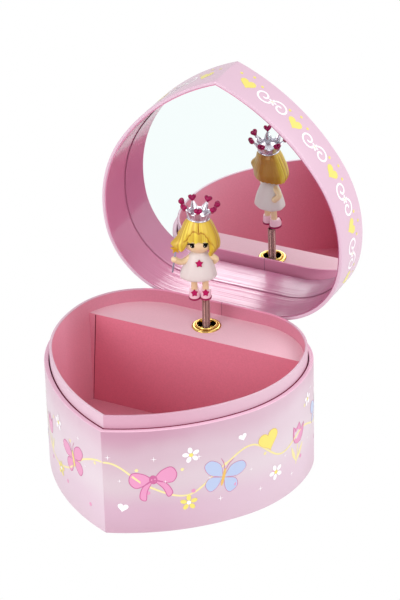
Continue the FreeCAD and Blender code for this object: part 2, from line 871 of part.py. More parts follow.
def doll_feet():
    soles, uppers, legs = [], [], []
    cap = 2 * size("foot_long")
    for side, name in ((-1, "right"), (1, "left")):
        spot = doll_spot(side * size("foot_apart"), -size("toe_forward"), 0)
        oval = ellipse(spot.x, spot.y, size("foot_wide"), size("foot_long"))
        soles.append(prism("sole_" + name, oval, "0", "sole_thick"))
        leg = doll_spot(side * size("foot_apart"), 0, size("sole_thick") + size("leg_sink"))
        knee = V(leg.x, leg.y, size("hem_height"))
        legs.append(rod("leg_" + name, leg, knee, "leg_radius"))
        dome = egg("shoe_dome_" + name, spot + UP * size("sole_thick"), "foot_wide", "foot_long", "shoe_tall")
        trim = prism(
            "shoe_trim_" + name,
            rectangle(spot.x - cap, spot.y - cap, spot.x + cap, spot.y + cap),
            "sole_thick",
            "shoe_tall",
        )
        upper = both("shoe_half_" + name, dome, trim)
        uppers.append(less("shoe_" + name, upper, legs[-1]))
    for side, name in enumerate(("right", "left")):
        keep("doll_sole_" + name, soles[side])
        keep("doll_shoe_" + name, uppers[side])
        keep("doll_leg_" + name, legs[side])


def dress_profile():
    hem, waist, neck = size("hem_height"), size("waist_height"), size("neck_height")
    return [
        (0, hem),
        (size("hem_radius"), hem),
        (size("hem_radius"), hem + size("hem_thick")),
        (size("waist_radius"), waist),
        (size("neck_radius"), neck),
        (0, neck),
    ]


def dress_radius(z):
    # Radius of the dress at a height above the waist.
    share = (z - size("waist_height")) / (size("neck_height") - size("waist_height"))
    return size("waist_radius") + share * (size("neck_radius") - size("waist_radius"))


def arm(name, points):
    pairs = enumerate(zip(points, points[1:]))
    parts = [rod(name + "_bar_%d" % k, a, b, "arm_radius") for k, (a, b) in pairs]
    parts += [ball(name + "_ball_%d" % k, p, "arm_radius") for k, p in enumerate(points)]
    return join(name + "_whole", parts)


def doll_body():
    middle = doll_spot(0, 0, size("head_height"))
    head = egg("doll_head", middle, "head_wide", "head_deep", "head_tall")
    keep("doll_head", head)
    dress = less("doll_dress", revolved("dress_blank", dress_profile()), head)
    keep("doll_dress", dress)
    wand_low = doll_spot(-size("wand_out"), -size("wand_front"), size("wand_height"))
    wand_high = wand_low + V(size("wand_lean"), 0, size("wand_long"))
    wand = rod("wand_rod", wand_low, wand_high, "wand_radius")
    keep("doll_wand", wand)
    grip = wand_low + (wand_high - wand_low) * 0.5
    out, high = size("shoulder_out"), size("shoulder_height")
    elbow, low, back = size("elbow_out"), size("elbow_height"), size("elbow_back")
    hip = doll_spot(size("hip_out"), size("hip_back"), size("hip_height"))
    right = arm("arm_right", [doll_spot(-out, 0, high), doll_spot(-elbow, -back, low), grip])
    left = arm("arm_left", [doll_spot(out, 0, high), doll_spot(elbow, back, low), hip])
    right = less("arm_right_trim", right, wand)
    keep("doll_arm_right", less("doll_arm_right", right, dress))
    keep("doll_arm_left", less("doll_arm_left", left, dress))
    tip = prism("wand_star_pad", star(size("star_radius"), size("star_inner")), "0", "star_thick")
    turn = FreeCAD.Rotation(V(1, 0, 0), 90)
    tip.Placement = FreeCAD.Placement(wand_high + V(0, size("star_thick") / 2, size("star_over")), turn)
    keep("wand_star", less("wand_star", tip, wand))
    five = star(size("dress_star"), size("dress_star_inner"))
    badge = prism("dress_star_pad", five, "0", "dress_star_thick")
    level = size("dress_star_height")
    front = doll_spot(0, -dress_radius(level) + size("dress_star_sink"), level)
    badge.Placement = FreeCAD.Placement(front, turn)
    keep("dress_star", less("dress_star", badge, dress))
    doll_hair(head, dress)


def doll_hair(head, dress):
    middle = doll_spot(0, size("hair_back"), size("head_height"))
    dome = egg("hair_dome", middle, "hair_wide", "hair_deep", "hair_tall")
    flip = ball("hair_flip", doll_spot(-size("flip_x"), 0, size("flip_height")), "flip_radius")
    reach = 4 * size("hair_wide")
    spot = doll_spot(0, 0, 0)
    trim = prism(
        "hair_trim",
        rectangle(spot.x - reach, spot.y - reach, spot.x + reach, spot.y + reach),
        "hair_end",
        "head_height + hair_tall",
    )
    half = size("face_half")
    face = prism(
        "hair_face",
        rectangle(spot.x - half, spot.y - reach, spot.x + half, spot.y - size("face_front")),
        "0",
        "fringe_height",
    )
    bob = both("hair_bob", join("hair_mass", [dome, flip]), trim)
    bob = less("hair_open", bob, face)
    hair = less("doll_hair", less("hair_head", bob, head), dress)
    keep("doll_hair", hair)
    doll_crown(hair)


def doll_crown(hair):
    spot = doll_spot(0, 0, 0)
    ring = circle(spot.x, spot.y, size("crown_radius"))
    ring += circle(spot.x, spot.y, size("crown_radius") - size("crown_skin"))
    band = prism("crown_band_pad", ring, "crown_base", "crown_band")
    spikes, hearts = [], []
    for k in range(int(size("spike_count"))):
        angle = -math.pi / 2 + 2 * math.pi * k / size("spike_count")
        way = V(math.cos(angle), math.sin(angle), 0)
        root = spot + way * (size("crown_radius") - size("crown_skin") / 2)
        root.z = size("crown_base") + size("crown_band") - size("spike_radius")
        end = spot + way * size("heart_ring")
        end.z = size("heart_height")
        spikes.append(rod("spike_%d" % k, root, end, "spike_radius"))
        hearts.append(ball("heart_%d" % k, end, "heart_radius"))
    jewels = join("crown_hearts", hearts)
    keep("crown_hearts", jewels)
    crown = less("crown_clear", join("crown_mass", [band] + spikes), hair)
    keep("doll_crown", less("doll_crown", crown, jewels))


def stand_doll():
    # Puts every piece of the figure on top of the stem, turned to its resting angle.
    pose = FreeCAD.Placement(
        V(0, stem_y(), value(SOLE)), FreeCAD.Rotation(UP, size("doll_yaw"))
    )
    doc.recompute()
    for label in DOLL:
        final = doc.addObject("Part::Feature", label + "_stood")
        shape = nodes[label].Shape.copy()
        shape.Placement = pose.multiply(shape.Placement)
        final.Shape = shape
        keep(label, final)


DOLL = [
    "doll_sole_right",
    "doll_shoe_right",
    "doll_leg_right",
    "doll_sole_left",
    "doll_shoe_left",
    "doll_leg_left",
    "doll_head",
    "doll_dress",
    "doll_wand",
    "doll_arm_right",
    "doll_arm_left",
    "wand_star",
    "dress_star",
    "doll_hair",
    "crown_hearts",
    "doll_crown",
]


def write_parts():
    doc.recompute()
    for thing in doc.Objects:
        if "Invalid" in thing.State or "Error" in thing.State:
            raise RuntimeError("object did not compute: " + thing.Label)
    os.makedirs("parts", exist_ok=True)
    for label, thing in nodes.items():
        shape = thing.Shape
        if shape.isNull() or not shape.isValid() or not shape.Solids:
            raise RuntimeError("bad shape: " + label)
        shape.exportStep("parts/" + label + ".step")
    print("wrote %d parts" % len(nodes))


fill_sheet()
box_shell()
fittings()
eyelet()
hinge_tape()
lid()
movement_frame()
comb()
spring_barrel()
winding()
music_drum()
governor()
stem_spring()
doll_feet()
doll_body()
stand_doll()
write_parts()
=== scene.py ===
import random
from math import acos, atan2, cos, degrees, exp, hypot, pi, radians, sin, sqrt

import bmesh
import bpy
from mathutils import Matrix, Vector


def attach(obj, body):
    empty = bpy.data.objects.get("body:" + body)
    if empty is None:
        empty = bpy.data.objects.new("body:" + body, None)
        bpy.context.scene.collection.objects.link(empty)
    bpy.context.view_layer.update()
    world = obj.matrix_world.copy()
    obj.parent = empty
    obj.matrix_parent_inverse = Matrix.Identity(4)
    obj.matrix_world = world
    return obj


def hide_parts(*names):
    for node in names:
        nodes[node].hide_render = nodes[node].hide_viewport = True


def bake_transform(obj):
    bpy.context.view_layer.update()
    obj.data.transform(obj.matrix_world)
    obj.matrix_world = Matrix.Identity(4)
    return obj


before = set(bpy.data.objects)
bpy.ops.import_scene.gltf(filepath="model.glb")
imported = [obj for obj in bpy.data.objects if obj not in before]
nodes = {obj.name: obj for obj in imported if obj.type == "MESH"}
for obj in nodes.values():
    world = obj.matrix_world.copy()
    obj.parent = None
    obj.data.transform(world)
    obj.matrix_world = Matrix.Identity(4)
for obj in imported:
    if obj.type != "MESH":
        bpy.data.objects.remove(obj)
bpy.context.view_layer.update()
mm = 0.001
print("stage: frame loaded")


def rgb(r, g, b):  # eight-bit display colour to linear
    def part(c):
        c = c / 255.0
        return c / 12.92 if c <= 0.04045 else ((c + 0.055) / 1.055) ** 2.4
    return (part(r), part(g), part(b), 1.0)


def grey(v):
    return (v, v, v, 1.0)


# node helpers


def feed(tree, socket, value):
    # value is a constant or another node's output
    if isinstance(value, bpy.types.NodeSocket):
        tree.links.new(value, socket)
    else:
        socket.default_value = value


def addNode(tree, kind, feeds, operation=None):
    # feeds are keyed by the input's name or number
    node = tree.nodes.new(kind)
    if operation:
        node.operation = operation
    for key, value in feeds.items():
        feed(tree, node.inputs[key], value)
    return node


def calc(tree, operation, a, b):
    return addNode(tree, "ShaderNodeMath", {0: a, 1: b}, operation).outputs[0]


def mixColours(tree, share, first, second):
    node = tree.nodes.new("ShaderNodeMix")
    node.data_type = "RGBA"
    for index, value in ((0, share), (6, first), (7, second)):
        feed(tree, node.inputs[index], value)
    return node.outputs[2]


def placeOf(tree):
    return tree.nodes.new("ShaderNodeTexCoord").outputs["Object"]


def axisOf(tree, axis):
    return addNode(tree, "ShaderNodeSeparateXYZ", {0: placeOf(tree)}).outputs[axis]


def addRamp(tree, value, stops, interpolation="LINEAR"):
    node = addNode(tree, "ShaderNodeValToRGB", {"Fac": value})
    node.color_ramp.interpolation = interpolation
    band = node.color_ramp.elements
    while len(band) < len(stops):
        band.new(0.5)
    for element, (where, colour) in zip(band, stops):
        element.position = where
        element.color = colour
    return node.outputs["Color"]


def spanRamp(tree, value, low, high, stops, interpolation="LINEAR"):
    span = addNode(tree, "ShaderNodeMapRange", {"Value": value, "From Min": low, "From Max": high})
    return addRamp(tree, span.outputs["Result"], stops, interpolation)


def axisRamp(tree, axis, low, high, stops):
    # colour ramp along one axis of the object
    return spanRamp(tree, axisOf(tree, axis), low, high, stops)


def newGroup(name, inputs, outputs):
    group = bpy.data.node_groups.new(name, "ShaderNodeTree")
    for way, sockets in (("INPUT", inputs), ("OUTPUT", outputs)):
        for label, kind in sockets:
            group.interface.new_socket(label, in_out=way, socket_type="NodeSocket" + kind)
    return group, group.nodes.new("NodeGroupInput"), group.nodes.new("NodeGroupOutput")


def useGroup(tree, group, feeds):
    node = tree.nodes.new("ShaderNodeGroup")
    node.node_tree = group
    for key, value in feeds.items():
        feed(tree, node.inputs[key], value)
    return node


# materials


def newMaterial(name, **values):
    # values go to the shader's own sockets, with _ for a space
    material = bpy.data.materials.new(name)
    material.use_nodes = True
    tree = material.node_tree
    shader = tree.nodes["Principled BSDF"]
    for key, value in values.items():
        shader.inputs[key.replace("_", " ")].default_value = value
    return material, tree, shader


def grainGroup():
    # fine paper or flock grain: varies a colour and gives a bump height
    inputs = [("Color", "Color"), ("Scale", "Float"), ("Amount", "Float")]
    group, into, out = newGroup("surfaceGrain", inputs, [("Color", "Color"), ("Height", "Float")])
    feeds = {"Vector": placeOf(group), "Scale": into.outputs["Scale"], "Detail": 4.0}
    noise = addNode(group, "ShaderNodeTexNoise", feeds).outputs["Fac"]
    gain = calc(group, "MULTIPLY", calc(group, "SUBTRACT", noise, 0.5), into.outputs["Amount"])
    bright = calc(group, "ADD", gain, 1.0)
    tint = addNode(group, "ShaderNodeVectorMath", {0: into.outputs["Color"], "Scale": bright}, "SCALE")
    feed(group, out.inputs["Color"], tint.outputs[0])
    feed(group, out.inputs["Height"], noise)
    return group


def sideLightGroup():
    # painted light: the covering paper is painted paler left of the front corner and far round the right, and
    # this fades out towards the back
    group, into, out = newGroup("paintedSideLight", [("Color", "Color")], [("Color", "Color")])
    levels = [(0.0, 0.32), (0.4995, 0.32), (0.5, 0.0), (0.68, 0.0), (1.0, 0.34)]
    across = axisRamp(group, "X", -0.075, 0.075, [(where, grey(v)) for where, v in levels])
    front = axisRamp(group, "Y", 0.0, 0.045, [(0.0, grey(1.0)), (1.0, grey(0.0))])
    share = calc(group, "MULTIPLY", across, front)
    feed(group, out.inputs["Color"], mixColours(group, share, into.outputs["Color"], rgb(244, 234, 242)))
    return group


grain = grainGroup()
paintedSideLight = sideLightGroup()


def addGrain(tree, shader, colour, scale, amount, bump):
    node = useGroup(tree, grain, {"Color": colour, "Scale": scale, "Amount": amount})
    feed(tree, shader.inputs["Base Color"], node.outputs["Color"])
    if bump > 0:
        feeds = {"Strength": bump, "Distance": 0.0002, "Height": node.outputs["Height"]}
        feed(tree, shader.inputs["Normal"], addNode(tree, "ShaderNodeBump", feeds).outputs["Normal"])


def plain(name, colour, rough, metal=0.0, coat=0.0, flecks=None, shine=0.5):
    # one colour; flecks are the scale, amount and bump of its grain
    material, tree, shader = newMaterial(
        name, Base_Color=colour, Roughness=rough, Metallic=metal, Coat_Weight=coat, Specular_IOR_Level=shine
    )
    if flecks:
        addGrain(tree, shader, colour, *flecks)
    return material


def collarCard():
    # collar paper with the painted light of the side tone group
    material, tree, shader = newMaterial("collarPaper", Roughness=0.5, Coat_Weight=0.1)
    tone = useGroup(tree, paintedSideLight, {"Color": rgb(206, 156, 177)})
    addGrain(tree, shader, tone.outputs["Color"], 900.0, 0.03, 0.0)
    return material


def bandedPaper():
    # printed paper whose colour runs in soft bands up the wall, with faint clouds; the darker band along the
    # top edge is partly painted shade below the rim, and the side tone group adds painted light
    material, tree, shader = newMaterial("boxPaper", Roughness=0.42, Coat_Weight=0.25, Coat_Roughness=0.3)
    feeds = {"Vector": placeOf(tree), "Scale": 28.0, "Detail": 2.0}
    cloud = addNode(tree, "ShaderNodeTexNoise", feeds).outputs["Fac"]
    wave = addNode(tree, "ShaderNodeMapRange", {"Value": cloud, "To Min": -0.007, "To Max": 0.007})
    level = calc(tree, "ADD", axisOf(tree, "Z"), wave.outputs["Result"])
    stops = [
        (0.0, rgb(200, 162, 181)), (0.22, rgb(204, 167, 187)), (0.5, rgb(208, 187, 196)),
        (0.75, rgb(202, 172, 186)), (1.0, rgb(190, 140, 163)),
    ]
    tone = useGroup(tree, paintedSideLight, {"Color": spanRamp(tree, level, 0.0, 0.065, stops, "EASE")})
    addGrain(tree, shader, tone.outputs["Color"], 900.0, 0.03, 0.02)
    return material


def shelfFlock():
    # pale flock on the shelf; its front edge is wrapped by the rose flock of the panel below
    material, tree, shader = newMaterial("paleFlock", Roughness=0.8)
    behind = calc(tree, "GREATER_THAN", axisOf(tree, "Y"), flock["shelfEdge"])
    addGrain(tree, shader, mixColours(tree, behind, flock["rose"], flock["pale"]), 1100.0, 0.12, 0.2)
    return material


def hairPaint():
    # hair paint with painted shade and light: brown in the grooves between the strands, gold on the ridges
    material, tree, shader = newMaterial(
        "hairGold", Roughness=0.4, Metallic=0.1, Coat_Weight=0.25, Coat_Roughness=0.3
    )
    paintedHairShade = tree.nodes.new("ShaderNodeAttribute")
    paintedHairShade.attribute_name = "paintedHairShade"
    colour = addRamp(tree, paintedHairShade.outputs["Fac"], [(0.0, rgb(172, 112, 8)), (0.75, rgb(232, 206, 60))])
    addGrain(tree, shader, colour, 260.0, 0.12, 0.0)
    return material


def liningWithPaintedShade():
    # rose flock with painted shade: deeper towards the front corner and the back
    material, tree, shader = newMaterial("lining", Roughness=0.85)
    stops = [
        (0.0, rgb(186, 66, 96)), (0.2, rgb(219, 130, 154)), (0.41, rgb(232, 150, 172)),
        (0.6, rgb(240, 167, 188)), (0.76, rgb(226, 150, 170)), (1.0, rgb(198, 120, 142)),
    ]
    addGrain(tree, shader, axisRamp(tree, "Y", -0.085, 0.05, stops), 1100.0, 0.2, 0.3)
    return material


def linerPaint():
    # gloss paper with faint streaks that run along the rim, with less coat on the right; its colour is
    # painted darker there as painted shade
    material, tree, shader = newMaterial("linerGloss", Roughness=0.3, Coat_Roughness=0.07)
    tones = {
        "Base Color": (rgb(216, 130, 168), rgb(176, 98, 134)),
        "Coat Weight": (grey(0.5), grey(0.06)),
    }
    for label, (left, right) in tones.items():
        feed(tree, shader.inputs[label], axisRamp(tree, "X", 0.012, 0.03, [(0.0, left), (1.0, right)]))
    stretch = addNode(tree, "ShaderNodeMapping", {"Vector": placeOf(tree), "Scale": (10.0, 520.0, 10.0)})
    feeds = {"Vector": stretch.outputs["Vector"], "Scale": 1.0, "Detail": 3.0}
    streak = addNode(tree, "ShaderNodeTexNoise", feeds).outputs["Fac"]
    strength = axisRamp(tree, "Z", 0.068, 0.09, [(0.0, grey(0.8)), (1.0, grey(0.05))])  # along the bottom
    lift = addNode(tree, "ShaderNodeBump", {"Strength": strength, "Distance": 0.0006, "Height": streak})
    for label in ("Normal", "Coat Normal"):
        feed(tree, shader.inputs[label], lift.outputs["Normal"])
    return material


flock = {"rose": rgb(221, 126, 148), "pale": rgb(234, 186, 199), "shelfEdge": 0.0207}

paints = {
    "boxPaper": bandedPaper(),
    "collarPaper": collarCard(),
    "lining": liningWithPaintedShade(),
    "paleFlock": shelfFlock(),
    "linerGloss": linerPaint(),
    "hairGold": hairPaint(),
}
looks = {
    "lidPaper": dict(colour=rgb(219, 184, 203), rough=0.4, coat=0.25, flecks=(900, 0.03, 0.0)),
    # painted pink reflected light and shade for the back of the collar
    "rearPaper": dict(colour=rgb(226, 142, 174), rough=0.5, flecks=(900, 0.03, 0.0)),
    "roseFlock": dict(colour=flock["rose"], rough=0.85, flecks=(1100, 0.22, 0.3)),
    "seamShade": dict(colour=rgb(120, 56, 84), rough=0.8),
    # painted shade for the slit round the collar
    "slitRose": dict(colour=rgb(150, 52, 84), rough=0.9, shine=0.1),
    # painted highlight for the wall's top edge
    "rimPaper": dict(colour=rgb(230, 186, 206), rough=0.5, coat=0.1),
    "gapShade": dict(colour=rgb(96, 22, 40), rough=0.9, shine=0.1),
    # painted light: a lighter copy of the rose flock
    "paintedLitLapFlock": dict(colour=rgb(226, 148, 169), rough=0.85, flecks=(1100, 0.22, 0.3)),
    "greyCard": dict(colour=rgb(176, 168, 160), rough=0.9, flecks=(700, 0.12, 0.1)),
    "hingeCloth": dict(colour=rgb(226, 170, 200), rough=0.8, flecks=(1800, 0.12, 0.2)),
    "mirror": dict(colour=(0.92, 0.985, 0.98, 1.0), rough=0.0, metal=1.0),
    "brass": dict(colour=rgb(204, 170, 98), rough=0.1, metal=1.0, flecks=(300, 0.04, 0.0)),
    "steel": dict(colour=rgb(190, 190, 192), rough=0.3, metal=1.0, flecks=(400, 0.06, 0.0)),
    "castMetal": dict(colour=rgb(160, 160, 162), rough=0.5, metal=1.0, flecks=(500, 0.12, 0.1)),
    # painted reflection: the chrome is tinted darker and pink like the pink box it mirrors
    "stemChrome": dict(colour=rgb(172, 134, 130), rough=0.12, metal=1.0),
    "skin": dict(colour=rgb(236, 206, 164), rough=0.4, coat=0.15),
    "dressWhite": dict(colour=rgb(222, 209, 206), rough=0.45, coat=0.1),
    "shoePink": dict(colour=rgb(244, 200, 214), rough=0.35, coat=0.2),
    "magenta": dict(colour=rgb(176, 0, 84), rough=0.4, shine=0.2),
    "jewelRed": dict(colour=rgb(150, 0, 74), rough=0.3, shine=0.25, flecks=(700, 0.7, 0.0)),
    # painted reflection: the strong grain mottles the silver dark and light in place of the crown's
    # reflections
    "silverPaint": dict(colour=rgb(206, 202, 210), rough=0.2, metal=0.8, flecks=(330, 0.5, 0.0)),
    "wandGrey": dict(colour=rgb(160, 165, 185), rough=0.35, metal=0.6),
    "goldPaint": dict(colour=rgb(222, 176, 40), rough=0.3, metal=0.5, coat=0.3),
    "inkBlack": dict(colour=rgb(8, 4, 4), rough=0.6, shine=0.1),
}
inks = {
    "inkWhite": (252, 246, 250),
    "inkYellow": (238, 222, 110),
    "inkPale": (240, 226, 160),
    "inkPink": (226, 148, 188),
    "inkRose": (200, 96, 150),
    "inkBlue": (182, 196, 228),
    "inkOrange": (232, 186, 96),
}
for name, tone in inks.items():
    looks[name] = dict(colour=rgb(*tone), rough=0.4, coat=0.2)
for name, look in looks.items():
    paints[name] = plain(name, **look)

cadPaint = {
    "boxPaper": ["outer_wall"],
    "lidPaper": ["lid_wall", "lid_top"],
    "collarPaper": ["inner_collar"],
    "roseFlock": ["bay_panel"],
    "lining": ["floor_pad"],
    "paleFlock": ["bay_shelf"],
    "linerGloss": ["lid_liner"],
    "greyCard": ["bottom_board", "spacer_left", "spacer_right", "mirror_backing", "shelf_cleat"],
    "hingeCloth": ["hinge_tape_base", "hinge_tape_lid"],
    "mirror": ["lid_mirror"],
    "brass": [
        "eyelet_ring", "eyelet_washer", "music_drum", "drum_wheel", "drum_pinion", "barrel_gear",
        "spring_chuck",
    ],
    "castMetal": ["bedplate", "comb_post", "spring_barrel", "barrel_cap"],
    "stemChrome": ["winding_key", "stem_spring"],
    "skin": ["doll_head", "doll_arm_left", "doll_arm_right", "doll_leg_left", "doll_leg_right"],
    "hairGold": ["doll_hair"],
    "dressWhite": ["doll_dress"],
    "shoePink": ["doll_shoe_left", "doll_shoe_right"],
    "magenta": ["doll_sole_left", "doll_sole_right", "crown_hearts", "dress_star"],
    "silverPaint": ["doll_crown"],
    "wandGrey": ["doll_wand"],
    "goldPaint": ["wand_star"],
}
painted = {node: paint for paint, group in cadPaint.items() for node in group}
for name, thing in nodes.items():
    thing.data.materials.clear()
    thing.data.materials.append(paints[painted.get(name, "steel")])
print("stage: materials")


# mesh helpers


def linked(name, mesh):
    thing = bpy.data.objects.new(name, mesh)
    bpy.context.scene.collection.objects.link(thing)
    return thing


def smoothed(mesh):
    mesh.polygons.foreach_set("use_smooth", [True] * len(mesh.polygons))


def makeMesh(name, verts, faces, paint, sharp=40.0):
    mesh = bpy.data.meshes.new(name)
    mesh.from_pydata([tuple(v) for v in verts], [], faces)
    work = bmesh.new()
    work.from_mesh(mesh)
    bmesh.ops.remove_doubles(work, verts=work.verts, dist=1e-7)
    bmesh.ops.recalc_face_normals(work, faces=work.faces)
    work.to_mesh(mesh)
    work.free()
    smoothed(mesh)
    mesh.set_sharp_from_angle(angle=radians(sharp))
    mesh.materials.append(paints[paint])
    return linked(name, mesh)


def addPiece(thing, body, slotName, *swaps):
    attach(thing, body)
    if swaps:
        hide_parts(*swaps)
    return thing


def lattice(rows, closeRows=False, closeColumns=True):
    # quads between rows of points
    count = len(rows[0])
    faces = []
    for i in range(len(rows) if closeRows else len(rows) - 1):
        j = (i + 1) % len(rows)
        for k in range(count if closeColumns else count - 1):
            n = (k + 1) % count
            faces.append((i * count + k, i * count + n, j * count + n, j * count + k))
    return [p for row in rows for p in row], faces


def unitRing(sides):
    # cosine and sine of each step round a circle
    return [(cos(2 * pi * k / sides), sin(2 * pi * k / sides)) for k in range(sides)]


def tube(points, radii, sides):
    # round tube along points with closed ends
    points = [Vector(p) for p in points]
    rows = []
    side = None
    for i, p in enumerate(points):
        ahead = points[min(i + 1, len(points) - 1)] - points[max(i - 1, 0)]
        ahead.normalize()
        if side is None:
            side = ahead.orthogonal().normalized()
        side = (side - ahead * side.dot(ahead)).normalized()
        other = ahead.cross(side)
        rows.append([p + (side * c + other * s) * radii[i] for c, s in unitRing(sides)])
    verts, faces = lattice(rows)
    for end, ring in ((0, 0), (-1, len(rows) - 1)):
        centre = len(verts)
        verts.append(points[end])
        for k in range(sides):
            faces.append((ring * sides + k, ring * sides + (k + 1) % sides, centre))
    return verts, faces


def roundEnds(points, radius, steps=5):
    # extra points and radii so that a tube ends in domes
    points = [Vector(p) for p in points]
    start = (points[0] - points[1]).normalized()
    end = (points[-1] - points[-2]).normalized()
    turns = [k / steps * pi / 2 for k in range(1, steps + 1)]
    rims = [max(radius * cos(a), 1e-6) for a in turns]
    path = [points[0] + start * radius * sin(a) for a in reversed(turns)] + points
    path += [points[-1] + end * radius * sin(a) for a in turns]
    return path, rims[::-1] + [radius] * len(points) + rims


def smoothPath(points, steps=8):
    # Catmull-Rom curve through points
    points = [Vector(p) for p in points]
    ends = [points[0] * 2 - points[1]] + points + [points[-1] * 2 - points[-2]]
    path = []
    for i in range(1, len(ends) - 2):
        a, b, c, d = ends[i - 1:i + 3]
        for k in range(steps):
            t = k / steps
            square = (a * 2 - b * 5 + c * 4 - d) * t * t
            path.append((b * 2 + (c - a) * t + square + (b * 3 - a - c * 3 + d) * t ** 3) * 0.5)
    path.append(points[-1])
    return path


def turned(profile, sides):
    # turned form from radius and height pairs, in the order given
    ring = unitRing(sides)
    return lattice([[Vector((r * c, r * s, z)) for c, s in ring] for r, z in profile])


def spun(angle, axis):
    return Matrix.Rotation(radians(angle), 4, axis)


def shifted(verts, matrix):
    return [matrix @ Vector(v) for v in verts]


def merge(*pairs):
    verts, faces = [], []
    for v, f in pairs:
        start = len(verts)
        verts += list(v)
        faces += [tuple(i + start for i in face) for face in f]
    return verts, faces


def blend01(x, low, high):
    t = min(max((x - low) / (high - low), 0.0), 1.0)
    return t * t * (3 - 2 * t)


def bell(x, width):
    return exp(-(x / width) ** 2)


# heart outline, the same as the CAD one

heart = {
    "front": 90.0,
    "heading": 20.0,
    "arcs": [(128.0, 36.0), (77.0, 44.0), (47.0, 80.0)],
    "step": 1.6,
}


def heartHalf():
    # arcs of the right half and the back corner, in millimetres
    heading = radians(heart["heading"])
    x, y = 0.0, -heart["front"]
    arcs = []
    for radius, turn in heart["arcs"]:
        cx = x - sin(heading) * radius
        cy = y + cos(heading) * radius
        start = heading - pi / 2
        end = start + radians(turn)
        arcs.append((cx, cy, radius, start, end))
        heading += radians(turn)
        x = cx + radius * cos(end)
        y = cy + radius * sin(end)
    return arcs, x, y


heartArcs, cornerX, backY = heartHalf()
halfLength = sum(r * (e - s) for cx, cy, r, s, e in heartArcs) + cornerX


def heartLoop(inset):
    # closed outline moved inwards, anticlockwise from the front tip
    right = []
    for index, (cx, cy, radius, start, end) in enumerate(heartArcs):
        r = radius - inset
        first = -acos(-cx / r) if index == 0 else start
        steps = max(2, int(round(radius * (end - start) / heart["step"])))
        for k in range(steps):
            a = first + (end - first) * k / steps
            right.append((cx + r * cos(a), cy + r * sin(a)))
    right.append((cornerX, backY - inset))
    steps = int(round(cornerX / heart["step"]))
    back = [(cornerX * (1 - k / steps), backY - inset) for k in range(1, steps)]
    left = [(-x, y) for x, y in reversed((right + back)[1:])]
    return right + back + [(0.0, backY - inset)] + left


def heartRows(profile):
    # the outline at each inset and height of a profile
    return [[Vector((x * mm, y * mm, z * mm)) for x, y in heartLoop(inset)] for inset, z in profile]


def wallPoint(along, lift):
    # point on the wall, by distance along it from the tip (right is positive)
    side = 1.0 if along >= 0 else -1.0
    rest = abs(along)
    for cx, cy, radius, start, end in heartArcs:
        run = radius * (end - start)
        if rest <= run:
            a = start + rest / radius
            return side * (cx + (radius + lift) * cos(a)), cy + (radius + lift) * sin(a)
        rest -= run
    return side * (cornerX - rest), backY + lift


def corner(inset, height, radius, startDeg, steps=4):
    # quarter round of a card edge, back to its start: inset and height are its centre
    points = []
    for k in range(steps, -1, -1):
        a = radians(startDeg + 90.0 * k / steps)
        points.append((inset + radius * cos(a), height + radius * sin(a)))
    return points


hinge = {"y": backY + 0.6, "z": 65.0, "open": 89.0}
lidPose = (
    Matrix.Translation((0, hinge["y"] * mm, hinge["z"] * mm))
    @ spun(-hinge["open"], "X")
    @ Matrix.Translation((0, -hinge["y"] * mm, -hinge["z"] * mm))
)


# box shell

shell = {
    "wall": 2.6,
    "height": 65.0,
    "foot": 0.35,
    "edge": 0.5,
    "collarOut": 3.2,
    "collarIn": 4.7,
    "collarTop": 72.8,
    "collarFoot": 3.0,
    "collarEdge": 0.4,
    "rearFrom": 46.0,
    "rows": (13.0, 26.0, 39.0, 52.0),  # mesh rows between foot and edge
    "innerRow": 40.0,
    "collarRows": (60.0, 30.0),
    "rimBand": 0.4,  # how far below the top the lighter edge paper, a painted highlight, reaches
    "collarBand": 0.5,
    "wallNear": 0.2,  # how near a face lies to the inner outline
    "collarNear": 0.95,
}


def wallProfile():
    edge, foot = shell["edge"], shell["foot"]
    top, inner = shell["height"], shell["wall"]
    return (
        [(foot, 0.0), (0.0, foot)]
        + [(0.0, z) for z in shell["rows"]]
        + corner(edge, top - edge, edge, 90.0)
        + corner(inner - edge, top - edge, edge, 0.0)
        + [(inner, shell["innerRow"]), (inner, 0.0)]
    )


def collarProfile():
    edge = shell["collarEdge"]
    out, inside, top, foot = (shell["collar" + word] for word in ("Out", "In", "Top", "Foot"))
    return (
        [(out, foot), (out, shell["innerRow"]), (out, shell["height"])]
        + corner(out + edge, top - edge, edge, 90.0)
        + corner(inside - edge, top - edge, edge, 0.0)
        + [(inside, z) for z in shell["collarRows"] + (foot,)]
    )


def heartRing(name, profile, *paintNames):
    # profile swept round the heart; the first paint covers it
    thing = makeMesh(name, *lattice(heartRows(profile), True), paintNames[0])
    for paint in paintNames[1:]:
        thing.data.materials.append(paints[paint])
    return thing


def away(point, loop):
    # distance from an outline, in millimetres
    return min(hypot(point.x / mm - x, point.y / mm - y) for x, y in loop)


wallSkin = heartRing("wallSkin", wallProfile(), "boxPaper", "slitRose", "rimPaper")
wallInside, wallRim = heartLoop(shell["wall"]), (shell["height"] - shell["rimBand"]) * mm
for face in wallSkin.data.polygons:  # painted shade: deep rose inside the slit round the collar; painted highlight: lighter pink along the top edge
    if away(face.center, wallInside) < shell["wallNear"] and face.center.z < wallRim:
        face.material_index = 1
    elif face.center.z > wallRim:
        face.material_index = 2
addPiece(wallSkin, "box", "pink_card", "outer_wall")

collarSkin = heartRing("collarSkin", collarProfile(), "collarPaper", "lining", "rearPaper", "slitRose")
collarInside, collarRim = heartLoop(shell["collarIn"]), (shell["collarTop"] - shell["collarBand"]) * mm
for face in collarSkin.data.polygons:  # the inner side is lined
    if away(face.center, collarInside) < shell["collarNear"] and face.center.z < collarRim:
        face.material_index = 1
    elif face.center.z < shell["height"] * mm:  # inside the slit, painted shade
        face.material_index = 3
    # painted reflected light: the back of the collar is painted pinker for the pink light it picks up from
    # the liner
    elif face.center.y > shell["rearFrom"] * mm:
        face.material_index = 2
addPiece(collarSkin, "box", "pink_card", "inner_collar")

seam = {"x": 2.5, "half": 0.11, "proud": 0.04, "low": 61.0}


